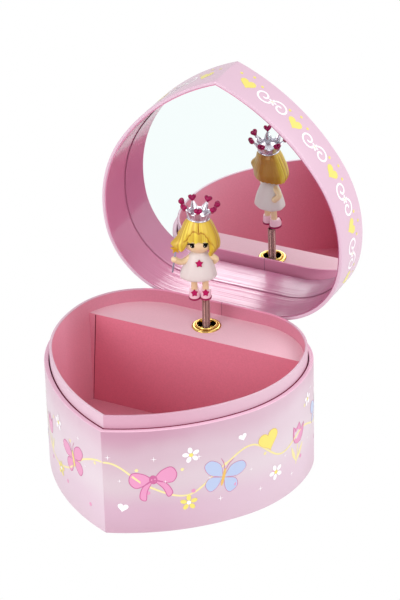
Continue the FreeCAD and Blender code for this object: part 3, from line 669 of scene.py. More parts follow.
def buildSeam():
    # butt joint of the collar card, over its top edge at the back
    middle = (shell["collarOut"] + shell["collarIn"]) / 2
    thick = (shell["collarIn"] - shell["collarOut"]) / 2
    section = []
    for inset, z in collarProfile():
        if z > seam["low"]:
            rise = seam["proud"] if z > shell["collarTop"] - 0.3 else 0.0
            section.append((middle + (inset - middle) * (1 + seam["proud"] / thick), z + rise))
    section = [(section[0][0], seam["low"])] + section + [(section[-1][0], seam["low"])]
    rows = []
    for side in (-1, 1):
        x = seam["x"] + side * seam["half"]
        rows.append([Vector((x * mm, (backY - inset) * mm, z * mm)) for inset, z in section])
    return lattice(rows, False, False)


panel = {  # a flock piece at the left of the bay panel, painted lighter as painted light so it reads as the lit wall lining, and a dark sheet beside it, painted shade for the gap
    "front": 20.52,
    "high": 64.5,
    "floor": 7.35,
    "lapTop": (-68.6, -64.1),
    "lapLow": (-68.3, -67.9),
    "gapTop": (-64.1, -63.55),
    "gapLow": (-67.9, -67.65),
    "proud": 0.04,
}


def slantPiece(name, word, y, paint):
    # flat four-sided piece on the front of the bay panel
    (topFrom, topTo), (lowFrom, lowTo) = panel[word + "Top"], panel[word + "Low"]
    low, high = panel["floor"], panel["high"]
    spots = [(lowFrom, low), (lowTo, low), (topTo, high), (topFrom, high)]
    thing = makeMesh(name, [(x * mm, y * mm, z * mm) for x, z in spots], [(0, 1, 2, 3)], paint)
    addPiece(thing, "box", "pink_card")


slantPiece("panelLap", "lap", panel["front"], "paintedLitLapFlock")
slantPiece("panelGap", "gap", panel["front"] - panel["proud"], "gapShade")
addPiece(makeMesh("collarSeam", *buildSeam(), "seamShade"), "box", "pink_card")
print("stage: box shell")


# lid shell

lid = {
    "rim": 65.4,
    "top": 94.4,
    "wall": 2.0,
    "topUnder": 92.4,
    "edge": 0.7,
    "crownEdge": 1.2,
    "flat": 6.0,
    "rows": (75.0, 85.0),
    "innerRow": 80.0,
}


def lidProfile():
    edge, big, wall, flat = (lid[k] for k in ("edge", "crownEdge", "wall", "flat"))
    top, under = lid["top"], lid["topUnder"]
    return (
        corner(edge, lid["rim"] + edge, edge, 180.0)
        + [(0.0, z) for z in lid["rows"]]
        + corner(big, top - big, big, 90.0)
        + [(flat, top), (flat, under), (wall, under), (wall, lid["innerRow"])]
        + corner(wall - edge, lid["rim"] + edge, edge, 270.0)
    )


def buildLid():
    verts, faces = lattice(heartRows(lidProfile()), True)
    levels = [lid["topUnder"] * mm, lid["top"] * mm]
    kept = []
    for face in faces:  # the seam between rim and panel is open inside
        heights = [verts[i].z for i in face]
        inner = all(min(abs(z - level) for level in levels) < 1e-9 for z in heights)
        if not inner or max(heights) - min(heights) <= 1e-6:
            kept.append(face)
    loops = heartRows([(lid["flat"], lid["topUnder"]), (lid["flat"], lid["top"])])  # flat middle of the top
    flats = [(loop, [tuple(range(len(loop)))]) for loop in loops]
    verts, faces = merge((verts, kept), *flats)
    return makeMesh("lidSkin", shifted(verts, lidPose), faces, "lidPaper")


addPiece(buildLid(), "lid", "pink_card", "lid_wall", "lid_top")
print("stage: lid shell")


# eyelet

eyelet = {
    "bore": 5.1,
    "lip": 6.4,
    "lipHigh": 1.5,
    "lipUp": 0.3,
    "flange": 8.4,
    "dome": 0.8,
    "seat": 0.1,
    "shelf": 64.7,
    "under": 61.8,
    "tube": 5.8,
    "y": backY - 19.0,
    "steps": 12,
    "sides": 72,
}


def buildEyelet():
    bore, lip, flange, base, under = (eyelet[k] for k in ("bore", "lip", "flange", "shelf", "under"))
    profile = [(bore, under)]
    for inner, outer, high in ((bore, lip, eyelet["lipHigh"]), (lip, flange, eyelet["dome"])):
        for k in range(eyelet["steps"] + 1):  # rolled lip, then the flange round it
            a = pi * (1 - k / eyelet["steps"])
            r = (inner + outer + (outer - inner) * cos(a)) / 2
            lift = eyelet["lipUp"] if r < lip + 0.01 else 0.0
            profile.append((r, base + lift + eyelet["seat"] + high * sin(a)))
    profile += [(flange, base), (eyelet["tube"], base), (eyelet["tube"], under), (bore, under)]
    verts, faces = turned([(r * mm, z * mm) for r, z in profile], eyelet["sides"])
    spot = Matrix.Translation((0, eyelet["y"] * mm, 0))
    return makeMesh("eyeletTurned", shifted(verts, spot), faces, "brass", 50.0)


addPiece(buildEyelet(), "box", "brass", "eyelet_ring")


# stem: a close-coiled spring, swept by geometry nodes

stem = {
    "radius": 2.0,
    "wire": 0.3,
    "low": 63.4,
    "high": 84.75,
    "turns": 34,
    "y": eyelet["y"],
    "bendLow": 66.5,
    "bendHigh": 83.8,
    "spiralSteps": 28,
    "wireSides": 10,
}


def coilNodes():
    group = bpy.data.node_groups.new("coilSpring", "GeometryNodeTree")
    sockets = {
        "Turns": ("Float", stem["turns"]),
        "Radius": ("Float", stem["radius"] * mm),
        "Wire": ("Float", stem["wire"] * mm),
        "Height": ("Float", (stem["high"] - stem["low"] - 2 * stem["wire"]) * mm),
        "Material": ("Material", paints["stemChrome"]),
    }
    for way in ("INPUT", "OUTPUT"):
        group.interface.new_socket("Geometry", in_out=way, socket_type="NodeSocketGeometry")
    for label, (kind, value) in sockets.items():
        socket = group.interface.new_socket(label, in_out="INPUT", socket_type="NodeSocket" + kind)
        socket.default_value = value
    given = group.nodes.new("NodeGroupInput").outputs
    spiral = addNode(
        group,
        "GeometryNodeCurveSpiral",
        {
            "Resolution": stem["spiralSteps"],
            "Rotations": given["Turns"],
            "Start Radius": given["Radius"],
            "End Radius": given["Radius"],
            "Height": given["Height"],
        },
    )
    wire = {"Resolution": stem["wireSides"], "Radius": given["Wire"]}
    section = addNode(group, "GeometryNodeCurvePrimitiveCircle", wire)
    curves = {"Curve": spiral.outputs["Curve"], "Profile Curve": section.outputs["Curve"], "Fill Caps": True}
    sweep = addNode(group, "GeometryNodeCurveToMesh", curves)
    real = addNode(group, "GeometryNodeRealizeInstances", {"Geometry": sweep.outputs["Mesh"]})
    coat = {"Geometry": real.outputs["Geometry"], "Material": given["Material"]}
    coated = addNode(group, "GeometryNodeSetMaterial", coat)
    addNode(group, "NodeGroupOutput", {"Geometry": coated.outputs["Geometry"]})
    return group


def fromNodes(name, group):
    # runs a node group once and keeps its mesh as a finished piece
    holder = linked(name + "Holder", bpy.data.meshes.new(name + "Holder"))
    holder.modifiers.new("nodes", "NODES").node_group = group
    bpy.context.view_layer.update()
    graph = bpy.context.evaluated_depsgraph_get()
    mesh = bpy.data.meshes.new_from_object(holder.evaluated_get(graph))
    bpy.data.objects.remove(holder)
    mesh.name = name
    smoothed(mesh)
    return linked(name, mesh)


stemCoil = fromNodes("stemCoil", coilNodes())
stemCoil.data.transform(Matrix.Translation((0, stem["y"] * mm, (stem["low"] + stem["wire"]) * mm)))
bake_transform(stemCoil)
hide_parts("stem_spring")
print("stage: eyelet and stem")


# the figure, built facing -Y about the stem and then stood on it

doll = {"yaw": 27.0, "x": -3.05, "y": -2.1, "base": 83.1, "sole": 1.7}
dollPose = (
    Matrix.Translation((0, stem["y"] * mm, doll["base"] * mm))
    @ spun(doll["yaw"], "Z")
    @ Matrix.Translation((doll["x"] * mm, doll["y"] * mm, 0))
    @ Matrix.Scale(mm, 4)
)


def dollPiece(name, form, paint, slotName, swaps=(), sharp=40.0):
    thing = makeMesh(name, shifted(form[0], dollPose), form[1], paint, sharp)
    return addPiece(thing, "doll", slotName, *swaps)


def ovalBall(centre, half, rings, sides):
    rows = []
    for i in range(rings + 1):
        a = pi * i / rings
        r = max(sin(a), 1e-5)
        z = centre[2] - half[2] * cos(a)
        ring = [(half[0] * r * c, half[1] * r * s) for c, s in unitRing(sides)]
        rows.append([Vector((centre[0] + x, centre[1] + y, z)) for x, y in ring])
    return lattice(rows)


# head

head = {"centre": (0.0, 0.0, 40.6), "half": (8.3, 7.5, 10.4), "cheek": 0.16, "chin": 0.08, "back": 0.8}


def headSwell(z):
    # fuller cheeks and chin: how far the head stands out at a height, across and forwards
    low = blend01(head["centre"][2] - z, 0.0, head["half"][2])
    return 1.0 + head["cheek"] * sin(pi * low), 1.0 + head["chin"] * sin(pi * low)


def buildHead():
    verts, faces = ovalBall(head["centre"], head["half"], 32, 48)
    shaped = []
    for v in verts:
        wide, deep = headSwell(v.z)
        shaped.append(Vector((v.x * wide, v.y * deep * (head["back"] if v.y > 0 else 1.0), v.z)))
    return shaped, faces


dollPiece("dollHead", buildHead(), "skin", "skin", ["doll_head"])


def facePoint(x, z, lift):
    # point on the front of the head
    wide, deep = headSwell(z)
    across, up = x / (head["half"][0] * wide), (z - head["centre"][2]) / head["half"][2]
    inside = max(1 - across ** 2 - up ** 2, 0.0)
    return Vector((x, -head["half"][1] * deep * sqrt(inside) - lift, z))


def faceDecal(points, lift):
    # a fan of the outline on the face, with a rim that goes in to the skin
    mx, mz = (sum(p[i] for p in points) / len(points) for i in (0, 1))
    rows = []
    for share in (1e-4, 0.5, 1.0):
        rows.append([facePoint(mx + (x - mx) * share, mz + (z - mz) * share, lift) for x, z in points])
    rows.append([facePoint(x, z, -0.1) for x, z in points])
    return lattice(rows)


def ovalPoints(x, z, halfX, halfZ, count=20):
    return [(x + halfX * c, z + halfZ * s) for c, s in unitRing(count)]


eyes = {
    "x": 3.65,
    "z": 37.9,
    "wide": 1.25,
    "tall": 1.4,
    "lid": 1.15,
    "inner": -1.4,
    "outer": 3.4,
    "thick": 0.9,
    "rise": 0.55,
    "arch": 0.3,
    "sag": 0.42,
    "light": (-0.45, -0.3, 0.15, 0.2),  # place and half sizes
    "lifts": (0.08, 0.1, 0.16),  # pupil, lash and light above the skin
    "steps": 14,
}


def lashLine(side):
    # upper lid line: level as seen from the front, thickest over the pupil, and it runs out to a lash
    x, z = side * eyes["x"], eyes["z"]
    inmost = facePoint(x + side * eyes["inner"], z, 0.0).y
    upper, lower = [], []
    for k in range(eyes["steps"] + 1):
        t = k / eyes["steps"]
        px = x + side * (eyes["inner"] + (eyes["outer"] - eyes["inner"]) * t)
        sag = eyes["sag"] * (facePoint(px, z, 0.0).y - inmost)
        pz = z + eyes["lid"] + eyes["arch"] * sin(pi * t) + eyes["rise"] * (1 - t) - sag
        thick = eyes["thick"] * sin(pi * min(0.15 + 0.85 * t, 1.0)) + 0.05
        upper.append((px, pz))
        lower.append((px, pz - thick))
    return upper + lower[::-1]


def buildEyes():
    dark, light = [], []
    lightX, lightZ, lightWide, lightTall = eyes["light"]
    pupilLift, lashLift, lightLift = eyes["lifts"]
    for side in (-1, 1):
        x, z = side * eyes["x"], eyes["z"]
        dark.append(faceDecal(ovalPoints(x, z, eyes["wide"], eyes["tall"]), pupilLift))
        dark.append(faceDecal(lashLine(side), lashLift))
        light.append(faceDecal(ovalPoints(x + lightX, z + lightZ, lightWide, lightTall, 12), lightLift))
    return merge(*dark), merge(*light)


darkEyes, lightEyes = buildEyes()
dollPiece("dollEyes", darkEyes, "inkBlack", "skin")
dollPiece("dollEyeLights", lightEyes, "inkWhite", "skin")
print("stage: head")


# hair: a bob with a centre parting, a fringe, a lock at one cheek and a flick at the other

hair = {
    "top": 54.6,
    "end": 34.2,
    "lockEnd": 30.6,
    "fringe": 40.5,
    "archLeft": [
        (0.0, 46.2), (0.2, 47.3), (0.36, 47.2), (0.55, 45.0), (0.785, 41.5), (1.0, 38.0), (3.2, 38.0),
    ],
    "archRight": [
        (0.0, 46.2), (0.15, 46.8), (0.33, 46.0), (0.5, 43.5), (0.7, 39.6), (0.9, 36.0), (3.2, 36.0),
    ],
    "profile": [
        (54.6, 0.02), (54.2, 3.2), (53.2, 5.0), (51.0, 6.7), (49.0, 7.9), (45.8, 9.5),
        (42.7, 10.9), (38.7, 11.9), (34.5, 11.9), (30.6, 11.2),
    ],
    "smoothBelow": 53.8,
    "deep": 0.77,
    "forward": -1.3,
    "locks": 54,
    "seed": 11,
    "leftOpen": 39.0,
    "rightOpen": 33.0,
    "flick": 4.2,
    "flickAt": -80.0,
    "ridge": 0.17,
    "groove": 0.7,
    "fringeIn": 0.35,
    "browIn": 1.5,
    "lockIn": 2.4,
    "crownOut": 1.3,
    "blown": 2.4,
    "blownAt": -126.0,
    "columns": 288,
    "steps": 48,
    "inside": [(0.995, 0.7), (0.97, 1.6), (0.8, 2.4), (0.6, 3.0)],
}


def hairRadius(z):
    levels = hair["profile"]
    for (za, ra), (zb, rb) in zip(levels, levels[1:]):
        if zb <= z <= za:
            return ra + (rb - ra) * (za - z) / (za - zb)
    return levels[-1][1] if z < levels[-1][0] else levels[0][1]


def hairSmooth(z):
    if z >= hair["smoothBelow"]:
        return hairRadius(z)
    return (hairRadius(min(z + 0.7, hair["top"])) + 2 * hairRadius(z) + hairRadius(z - 0.7)) / 4


def hairFlick(angle):
    return bell(degrees(angle) - hair["flickAt"], 20.0)


def hairFront(angle):
    # 1 over the face, 0 at the sides and back; angle 0 is the front
    start = radians(hair["leftOpen"] if angle < 0 else hair["rightOpen"])
    return 1 - blend01(abs(angle), start, start + 0.22)


def hairEnd(angle):
    # lower edge: high over the face, low at the sides and back
    fringe = hair["fringe"] + 0.35 * cos(angle * 18)
    low = hair["end"] + 0.25 * cos(angle * 5) + 0.2 * cos(angle * 23) + 3.2 * hairFlick(angle)
    lock = blend01(angle, 0.5, 0.75) * (1 - blend01(angle, 1.0, 1.5))
    low += (hair["lockEnd"] - hair["end"]) * lock
    front = hairFront(angle)
    return fringe * front + low * (1 - front)


def hairArch(angle):
    # the top hair ends in a curtain over the fringe
    points = hair["archLeft"] if angle < 0 else hair["archRight"]
    turn = abs(angle)
    for (aa, za), (ab, zb) in zip(points, points[1:]):
        if turn <= ab:
            return za + (zb - za) * blend01(turn, aa, ab)
    return points[-1][1]


dice = random.Random(hair["seed"])
strandTable = [dice.random() for k in range(hair["locks"] * 2)]


def strandNoise(angle, count, start):
    # uneven ridges round the head from a fixed table, -1 to 1
    spot = (angle / (2 * pi)) % 1.0 * count
    first = int(spot)
    a = strandTable[(first + start) % len(strandTable)]
    b = strandTable[((first + 1) % count + start) % len(strandTable)]
    return 2 * (a + (b - a) * blend01(spot - first, 0.0, 1.0)) - 1


def hairStrand(angle, z):
    # ridges of the strands, -1 to 1; the fringe has its own finer ones
    fringe = hairFront(angle) * (1 - blend01(z, hairArch(angle) - 0.6, hairArch(angle) + 0.2))
    sweep = angle * (1 + 0.012 * (hair["top"] - z))
    coarse = 0.65 * strandNoise(sweep, hair["locks"], 0) + 0.35 * strandNoise(sweep, hair["locks"] * 2, 17)
    fine = strandNoise(angle, hair["locks"] * 2, 40)
    return coarse + (fine - coarse) * fringe


def hairGroove(angle, z):
    # parting at the front and the step where the top hair meets the fringe, 0 to 1
    arch = hairArch(angle)
    part = bell(angle, 0.035) * blend01(z, arch - 0.5, arch + 0.5)
    step = bell(z - arch + 0.3, 0.4) * (1 - blend01(abs(angle), 0.75, 0.95))
    return max(part, 0.55 * step)


def hairPoint(angle, share, skin):
    z = hair["top"] - (hair["top"] - hairEnd(angle)) * (share ** 0.86)
    grown = blend01(share, 0.05, 0.3)
    front, arch = hairFront(angle), hairArch(angle)
    radius = hairSmooth(z) - skin
    radius += hair["ridge"] * hairStrand(angle, z) * grown
    radius -= hair["groove"] * hairGroove(angle, z) * grown
    under = 1 - blend01(z, arch - 0.9, arch - 0.3)
    radius -= hair["fringeIn"] * under * front  # the fringe lies under the top hair
    radius -= hair["browIn"] * front * blend01(share, 0.5, 1.0)  # and comes in to the brow
    curl = blend01(angle, 0.45, 0.7) * (1 - blend01(angle, 1.2, 1.8))
    radius -= hair["lockIn"] * curl * blend01(37.0 - z, 0.0, 6.5)  # cheek lock turned in to the chin
    radius += hair["crownOut"] * blend01(abs(angle), 1.5, 2.4) * bell(z - 49.0, 3.2)  # fuller behind
    blown = bell(degrees(angle) - hair["blownAt"], 15.0) * bell(z - 41.0, 2.8)
    radius += hair["blown"] * blown  # blown out behind the flick
    radius += hair["flick"] * hairFlick(angle) * blend01(43.5 - z, 0.0, 6.5)
    radius = max(radius, 0.01)
    return Vector((radius * sin(angle), -radius * hair["deep"] * cos(angle) + hair["forward"], z))


def buildHair():
    columns, steps = hair["columns"], hair["steps"]
    angles = [-pi + 2 * pi * k / columns for k in range(columns)]
    levels = [(i / steps, 0.0) for i in range(steps + 1)] + hair["inside"]
    return lattice([[hairPoint(a, share, skin) for a in angles] for share, skin in levels])


def shadeHair(thing):
    # painted shade: how far each point lies in a groove between strands, in the parting and at the fringe
    # step, which darkens its colour; it is also painted darker behind, on the right and at the top inside the
    # crown
    shade = thing.data.attributes.new("paintedHairShade", "FLOAT", "POINT")
    inward = dollPose.inverted()
    for index, vert in enumerate(thing.data.vertices):
        p = inward @ vert.co
        angle = atan2(p.x, (hair["forward"] - p.y) / hair["deep"])
        level = 0.48 + (0.48 - 0.22 * hairFront(angle)) * hairStrand(angle, p.z)
        level *= 1 - 0.7 * blend01(abs(angle), 1.5, 2.4) - 0.3 * blend01(angle, 0.5, 1.0)  # deeper behind
        level = max(level - hairGroove(angle, p.z), 0.0)
        shade.data[index].value = level * blend01(hair["top"] - p.z, 0.3, 3.0)


shadeHair(dollPiece("dollHair", buildHair(), "hairGold", "hair_gold", ["doll_hair"], 60.0))
print("stage: hair")


# dress, arms, legs and shoes

dress = {
    "profile": [
        (31.5, 0.02), (31.4, 3.4), (30.6, 4.6), (29.4, 5.6), (27.5, 6.5), (25.0, 7.6), (22.0, 8.8),
        (19.0, 9.8), (17.0, 10.3), (16.0, 10.4), (15.5, 10.2), (15.4, 9.9), (16.2, 9.2), (18.4, 7.6),
        (20.0, 4.0), (20.2, 0.02),
    ],
    "top": 31.5,
    "folds": 9,
    "sway": 0.16,
    "deep": 0.78,
    "lean": 0.05,
    "sides": 96,
}


def buildDress():
    rows = []
    for z, r in dress["profile"]:
        sway = dress["sway"] * blend01(27.0 - z, 0.0, 9.0) if r > 3 else 0.0
        lean = dress["lean"] * (dress["top"] - z)
        row = []
        for k, (c, s) in enumerate(unitRing(dress["sides"])):
            radius = r + sway * cos(dress["folds"] * 2 * pi * k / dress["sides"])
            row.append(Vector((radius * c - lean, radius * s * dress["deep"], z)))
        rows.append(row)
    return lattice(rows)


dollPiece("dollDress", buildDress(), "dressWhite", "dress_white", ["doll_dress"], 70.0)

limbs = {
    "arm": 1.75,
    "hand": 1.9,
    "leg": 1.8,
    "apart": 3.15,
    "legFoot": 4.2,
    "legRows": (11.0, 19.0),
    "Right": [(-4.4, -0.4, 28.2), (-7.4, -1.0, 26.0), (-10.4, -2.6, 25.7), (-13.8, -4.4, 28.4)],
    "Left": [(4.4, 0.0, 28.4), (7.4, 0.2, 27.2), (9.4, 0.8, 25.2), (7.8, 2.6, 22.8)],
}
shoe = {
    "wide": 3.1,
    "long": 3.7,
    "tall": 5.6,
    "ankle": 2.2,
    "sole": 1.2,
    "forward": -0.9,
    "welt": (0.25, 0.2),
    "swell": 0.55,
    "steps": 12,
    "sides": 36,
}


def buildArm(points):
    path, radii = roundEnds(smoothPath(points, 6), limbs["arm"])
    return merge(tube(path, radii, 18), ovalBall(points[-1], (limbs["hand"],) * 3, 14, 18))


def buildLeg(side):
    heights = (doll["sole"] + limbs["legFoot"],) + limbs["legRows"]
    path, radii = roundEnds([(side * limbs["apart"], 0, z) for z in heights], limbs["leg"], 3)
    return tube(path, radii, 20)


def ovalRow(x, y, halfX, halfY, z):
    return [Vector((x + halfX * c, y + halfY * s, z)) for c, s in unitRing(shoe["sides"])]


def buildShoe(side):
    # rounded upper that closes round the ankle
    x, low, ankle = side * limbs["apart"], doll["sole"] + shoe["sole"], shoe["ankle"]
    rows = [[Vector((x, shoe["forward"], low))] * shoe["sides"]]
    for i in range(shoe["steps"] + 1):
        a = i / shoe["steps"] * pi / 2
        grow = cos(a) ** shoe["swell"]
        halfX, halfY = (ankle + (shoe[k] - ankle) * grow for k in ("wide", "long"))
        z = low + (shoe["tall"] - shoe["sole"]) * sin(a)
        rows.append(ovalRow(x, shoe["forward"] * grow, halfX, halfY, z))
    top = Vector((x, 0, doll["sole"] + shoe["tall"] - 0.1))
    rows.append([top + (p - Vector((x, 0, p.z))) * 0.5 for p in rows[-1]])
    return lattice(rows)


def buildSole(side):
    high = shoe["sole"]
    levels = ((0.0, 1e-4), (0.0, 0.94), (0.15, 1.0), (high - 0.1, 1.0), (high, 0.97), (high, 1e-4))
    wide, long = shoe["wide"] + shoe["welt"][0], shoe["long"] + shoe["welt"][1]
    x, y, low = side * limbs["apart"], shoe["forward"], doll["sole"]
    return lattice([ovalRow(x, y, wide * grow, long * grow, low + z) for z, grow in levels])


sides = ((-1, "Right", "_right"), (1, "Left", "_left"))
for side, word, end in sides:
    dollPiece("dollArm" + word, buildArm(limbs[word]), "skin", "skin", ["doll_arm" + end])
for side, word, end in sides:
    dollPiece("dollLeg" + word, buildLeg(side), "skin", "skin", ["doll_leg" + end])
for side, word, end in sides:
    dollPiece("dollShoe" + word, buildShoe(side), "shoePink", "dress_white", ["doll_shoe" + end], 60.0)
    dollPiece("dollSole" + word, buildSole(side), "jewelRed", "magenta", ["doll_sole" + end], 50.0)


def puffed(outline, half):
    # solid facing -Y: the outline at each depth and size of one half, and mirrored for the other
    levels = half + [(-depth, grow) for depth, grow in reversed(half)]
    rows = [[Vector((x * grow, depth, z * grow)) for x, z in outline] for depth, grow in levels]
    return lattice(rows)


def starSolid(radius, inner, thick):
    outline = []
    for k in range(10):
        a = pi / 2 + k * pi / 5
        r = inner if k % 2 else radius
        outline.append((r * cos(a), r * sin(a)))
    return puffed(outline, [(thick / 2, 1e-4), (thick / 2, 0.75), (thick / 4, 1.0)])


def placed(form, spot, tiltDeg=0.0, spinDeg=0.0):
    return shifted(form[0], Matrix.Translation(spot) @ spun(spinDeg, "Z") @ spun(tiltDeg, "X")), form[1]


stars = {  # outer and inner radius and thickness of each, with its place and tilt
    "shoe": (2.2, 1.4, 1.0),
    "shoeFront": -3.65,
    "shoeUp": 4.5,
    "shoeTilt": -38.0,
    "shoeSpin": -6.0,
    "dress": (2.4, 1.4, 1.2),
    "dressSpot": (0, -5.75, 26.0),
    "dressTilt": -22.0,
    "wand": (3.1, 1.5, 1.8),
}
wand = {"low": Vector((-15.0, -4.6, 20.6)), "high": Vector((-12.9, -4.6, 34.4)), "radius": 0.5, "starUp": 0.6}
badges = []
for side in (-1, 1):
    spot = (side * limbs["apart"], stars["shoeFront"], doll["sole"] + stars["shoeUp"])
    badges.append(placed(starSolid(*stars["shoe"]), spot, stars["shoeTilt"], stars["shoeSpin"] * side))
dollPiece("shoeStars", merge(*badges), "magenta", "magenta", (), 25.0)
dressStar = placed(starSolid(*stars["dress"]), stars["dressSpot"], stars["dressTilt"])
dollPiece("dressStar", dressStar, "magenta", "magenta", ["dress_star"], 25.0)
wandLine = [wand["low"], (wand["low"] + wand["high"]) / 2, wand["high"]]
wandPath, wandRadii = roundEnds(wandLine, wand["radius"], 3)
dollPiece("dollWand", tube(wandPath, wandRadii, 14), "wandGrey", "silver_paint", ["doll_wand"])
wandStar = placed(starSolid(*stars["wand"]), wand["high"] + Vector((0, 0, wand["starUp"])))
dollPiece("wandStar", wandStar, "goldPaint", "gold_paint", ["wand_star"], 25.0)
print("stage: dress and limbs")


# crown: a flared cup cut into seven points, a heart on each

crown = {
    "base": 51.2,
    "baseRadius": 6.0,
    "notch": 55.6,
    "notchRadius": 7.0,
    "tip": 59.0,
    "tipRadius": 9.7,
    "points": 7,
    "skin": 0.8,
    "floor": 54.6,
    "lean": 5.0,
    "back": 4.0,
    "spin": -4.0,
    "columns": 210,
    "steps": 14,
    "beadRadius": 6.05,
    "bead": 0.5,
    "beadUp": 0.7,
    "jewelWide": 4.7,
    "jewelThick": 2.6,
    "jewelOut": 0.4,
    "jewelUp": 0.7,
    "jewelTilt": 30.0,
}


def crownPoint(angle, share, inset):
    # the rim rises to each point; angle 0 is the front
    beat = (angle * crown["points"] / (2 * pi)) % 1.0
    near = abs(beat - 0.5) * 2  # 1 at a point, 0 midway
    peak = max(0.0, (near - 0.3) / 0.7) ** 0.9
    topZ = crown["notch"] + (crown["tip"] - crown["notch"]) * peak
    topR = crown["notchRadius"] + (crown["tipRadius"] - crown["notchRadius"]) * peak
    z = crown["base"] + (topZ - crown["base"]) * share
    radius = crown["baseRadius"] + (topR - crown["baseRadius"]) * share ** 1.4 - inset
    return Vector((radius * sin(angle), -radius * cos(angle), z))


crownPose = (
    Matrix.Translation((0, 0, crown["base"]))
    @ spun(crown["lean"], "Y")
    @ spun(-crown["back"], "X")
    @ spun(crown["spin"], "Z")
    @ Matrix.Translation((0, 0, -crown["base"]))
)


def buildCrown():
    columns, steps = crown["columns"], crown["steps"]
    angles = [2 * pi * k / columns for k in range(columns)]
    levels = [(i / steps, 0.0) for i in range(steps + 1)]
    levels += [(1 - i / steps, crown["skin"]) for i in range(steps + 1)]
    cup = lattice([[crownPoint(a, share, inset) for a in angles] for share, inset in levels], True)
    loops = []
    for c, s in unitRing(60):  # bead round the foot
        way, up = Vector((s, -c, 0)), Vector((0, 0, 1))
        spot = way * crown["beadRadius"] + up * (crown["base"] + crown["beadUp"])
        loops.append([spot + (way * bc + up * bs) * crown["bead"] for bc, bs in unitRing(8)])
    lining = turned([(0.01, crown["floor"]), (crown["baseRadius"] - 0.1, crown["floor"] - 0.2)], 40)
    verts, faces = merge(cup, lattice(loops, True), lining)
    return shifted(verts, crownPose), faces


def heartOutline(size, count, rise=0.0):
    points = []
    for k in range(count):
        t = 2 * pi * k / count
        z = 13 * cos(t) - 5 * cos(2 * t) - 2 * cos(3 * t) - cos(4 * t)
        points.append((16 * sin(t) ** 3 * size / 32, (z + rise) * size / 32))
    return points


def buildJewels():
    half = crown["jewelThick"] / 2
    front = [(half, 1e-4), (half, 0.6), (0.75 * half, 0.85), (0.3 * half, 1.0)]
    jewel = puffed(heartOutline(crown["jewelWide"], 28, 2), front)
    r, high = crown["tipRadius"] + crown["jewelOut"], crown["tip"] + crown["jewelUp"]
    jewels = []
    for k in range(crown["points"]):
        spin = 360.0 * k / crown["points"]
        a = radians(spin)
        jewels.append(placed(jewel, (r * sin(a), -r * cos(a), high), crown["jewelTilt"], spin))
    verts, faces = merge(*jewels)
    return shifted(verts, crownPose), faces


dollPiece("dollCrown", buildCrown(), "silverPaint", "silver_paint", ["doll_crown"], 50.0)
dollPiece("crownHearts", buildJewels(), "jewelRed", "magenta", ["crown_hearts"], 50.0)
print("stage: crown")


# printed motifs: thin flat shapes laid on the paper

prints = {
    "lift": 0.05,
    "layer": 0.012,
    "grain": 2.0,
    "dots": 70,
    "sparks": 40,
    "stepX": 0.618034,  # uneven steps that spread dots and sparks
    "stepZ": 0.7548777,
}
motifs = {
    "bowPink": ("bow", "inkPink", "inkRose"),
    "bowBlue": ("bow", "inkBlue", "inkRose"),
    "wingsBlue": ("butterfly", "inkBlue", "inkRose", "inkOrange"),
    "wingsPink": ("butterfly", "inkPink", "inkRose", "inkYellow"),
    "heartGold": ("heart", "inkYellow", "inkOrange"),
    "heartYellow": ("heart", "inkYellow", None),
    "heartWhite": ("heart", "inkWhite", None),
    "tulip": ("tulip", "inkPink", "inkRose", "inkPale"),
    "daisyWhite": ("daisy", "inkWhite", "inkYellow"),
    "daisyYellow": ("daisy", "inkYellow", "inkWhite"),
}


def flatShape(outline):
    # triangles of a closed outline, split fine enough to follow the wall
    work = bmesh.new()
    work.faces.new([work.verts.new((x, z, 0)) for x, z in outline])
    bmesh.ops.triangulate(work, faces=work.faces)
    for step in range(4):
        long = [e for e in work.edges if e.calc_length() > prints["grain"] * 1.5]
        if not long:
            break
        bmesh.ops.subdivide_edges(work, edges=long, cuts=1)
        bmesh.ops.triangulate(work, faces=work.faces)
    verts = [(v.co.x, v.co.y) for v in work.verts]
    work.verts.index_update()
    faces = [tuple(v.index for v in f.verts) for f in work.faces]
    work.free()
    return verts, faces


def strokeShape(path, width):
    # a line of even width, with tapered ends
    left, right = [], []
    count = len(path)
    for k, (x, z) in enumerate(path):
        ax, az = path[max(k - 1, 0)]
        bx, bz = path[min(k + 1, count - 1)]
        run = hypot(bx - ax, bz - az) or 1.0
        half = width / 2 * min(1.0, 0.35 + min(k, count - 1 - k) * 0.3)
        nx, nz = -(bz - az) / run * half, (bx - ax) / run * half
        left.append((x + nx, z + nz))
        right.append((x - nx, z - nz))
    return left + right, [(k, k + 1, count + k + 1, count + k) for k in range(count - 1)]


def movedShape(form, x, z, turnDeg=0.0, scale=1.0):
    c, s = cos(radians(turnDeg)), sin(radians(turnDeg))
    verts = [(x + scale * (px * c - pz * s), z + scale * (px * s + pz * c)) for px, pz in form[0]]
    return verts, form[1]


def disc(halfX, halfZ, count):
    return flatShape(ovalPoints(0, 0, halfX, halfZ, count))


def curve2d(points, steps=5):
    return [(p.x, p.y) for p in smoothPath([(x, z, 0) for x, z in points], steps)]


def loop2d(points):
    return curve2d(points + points[:1])


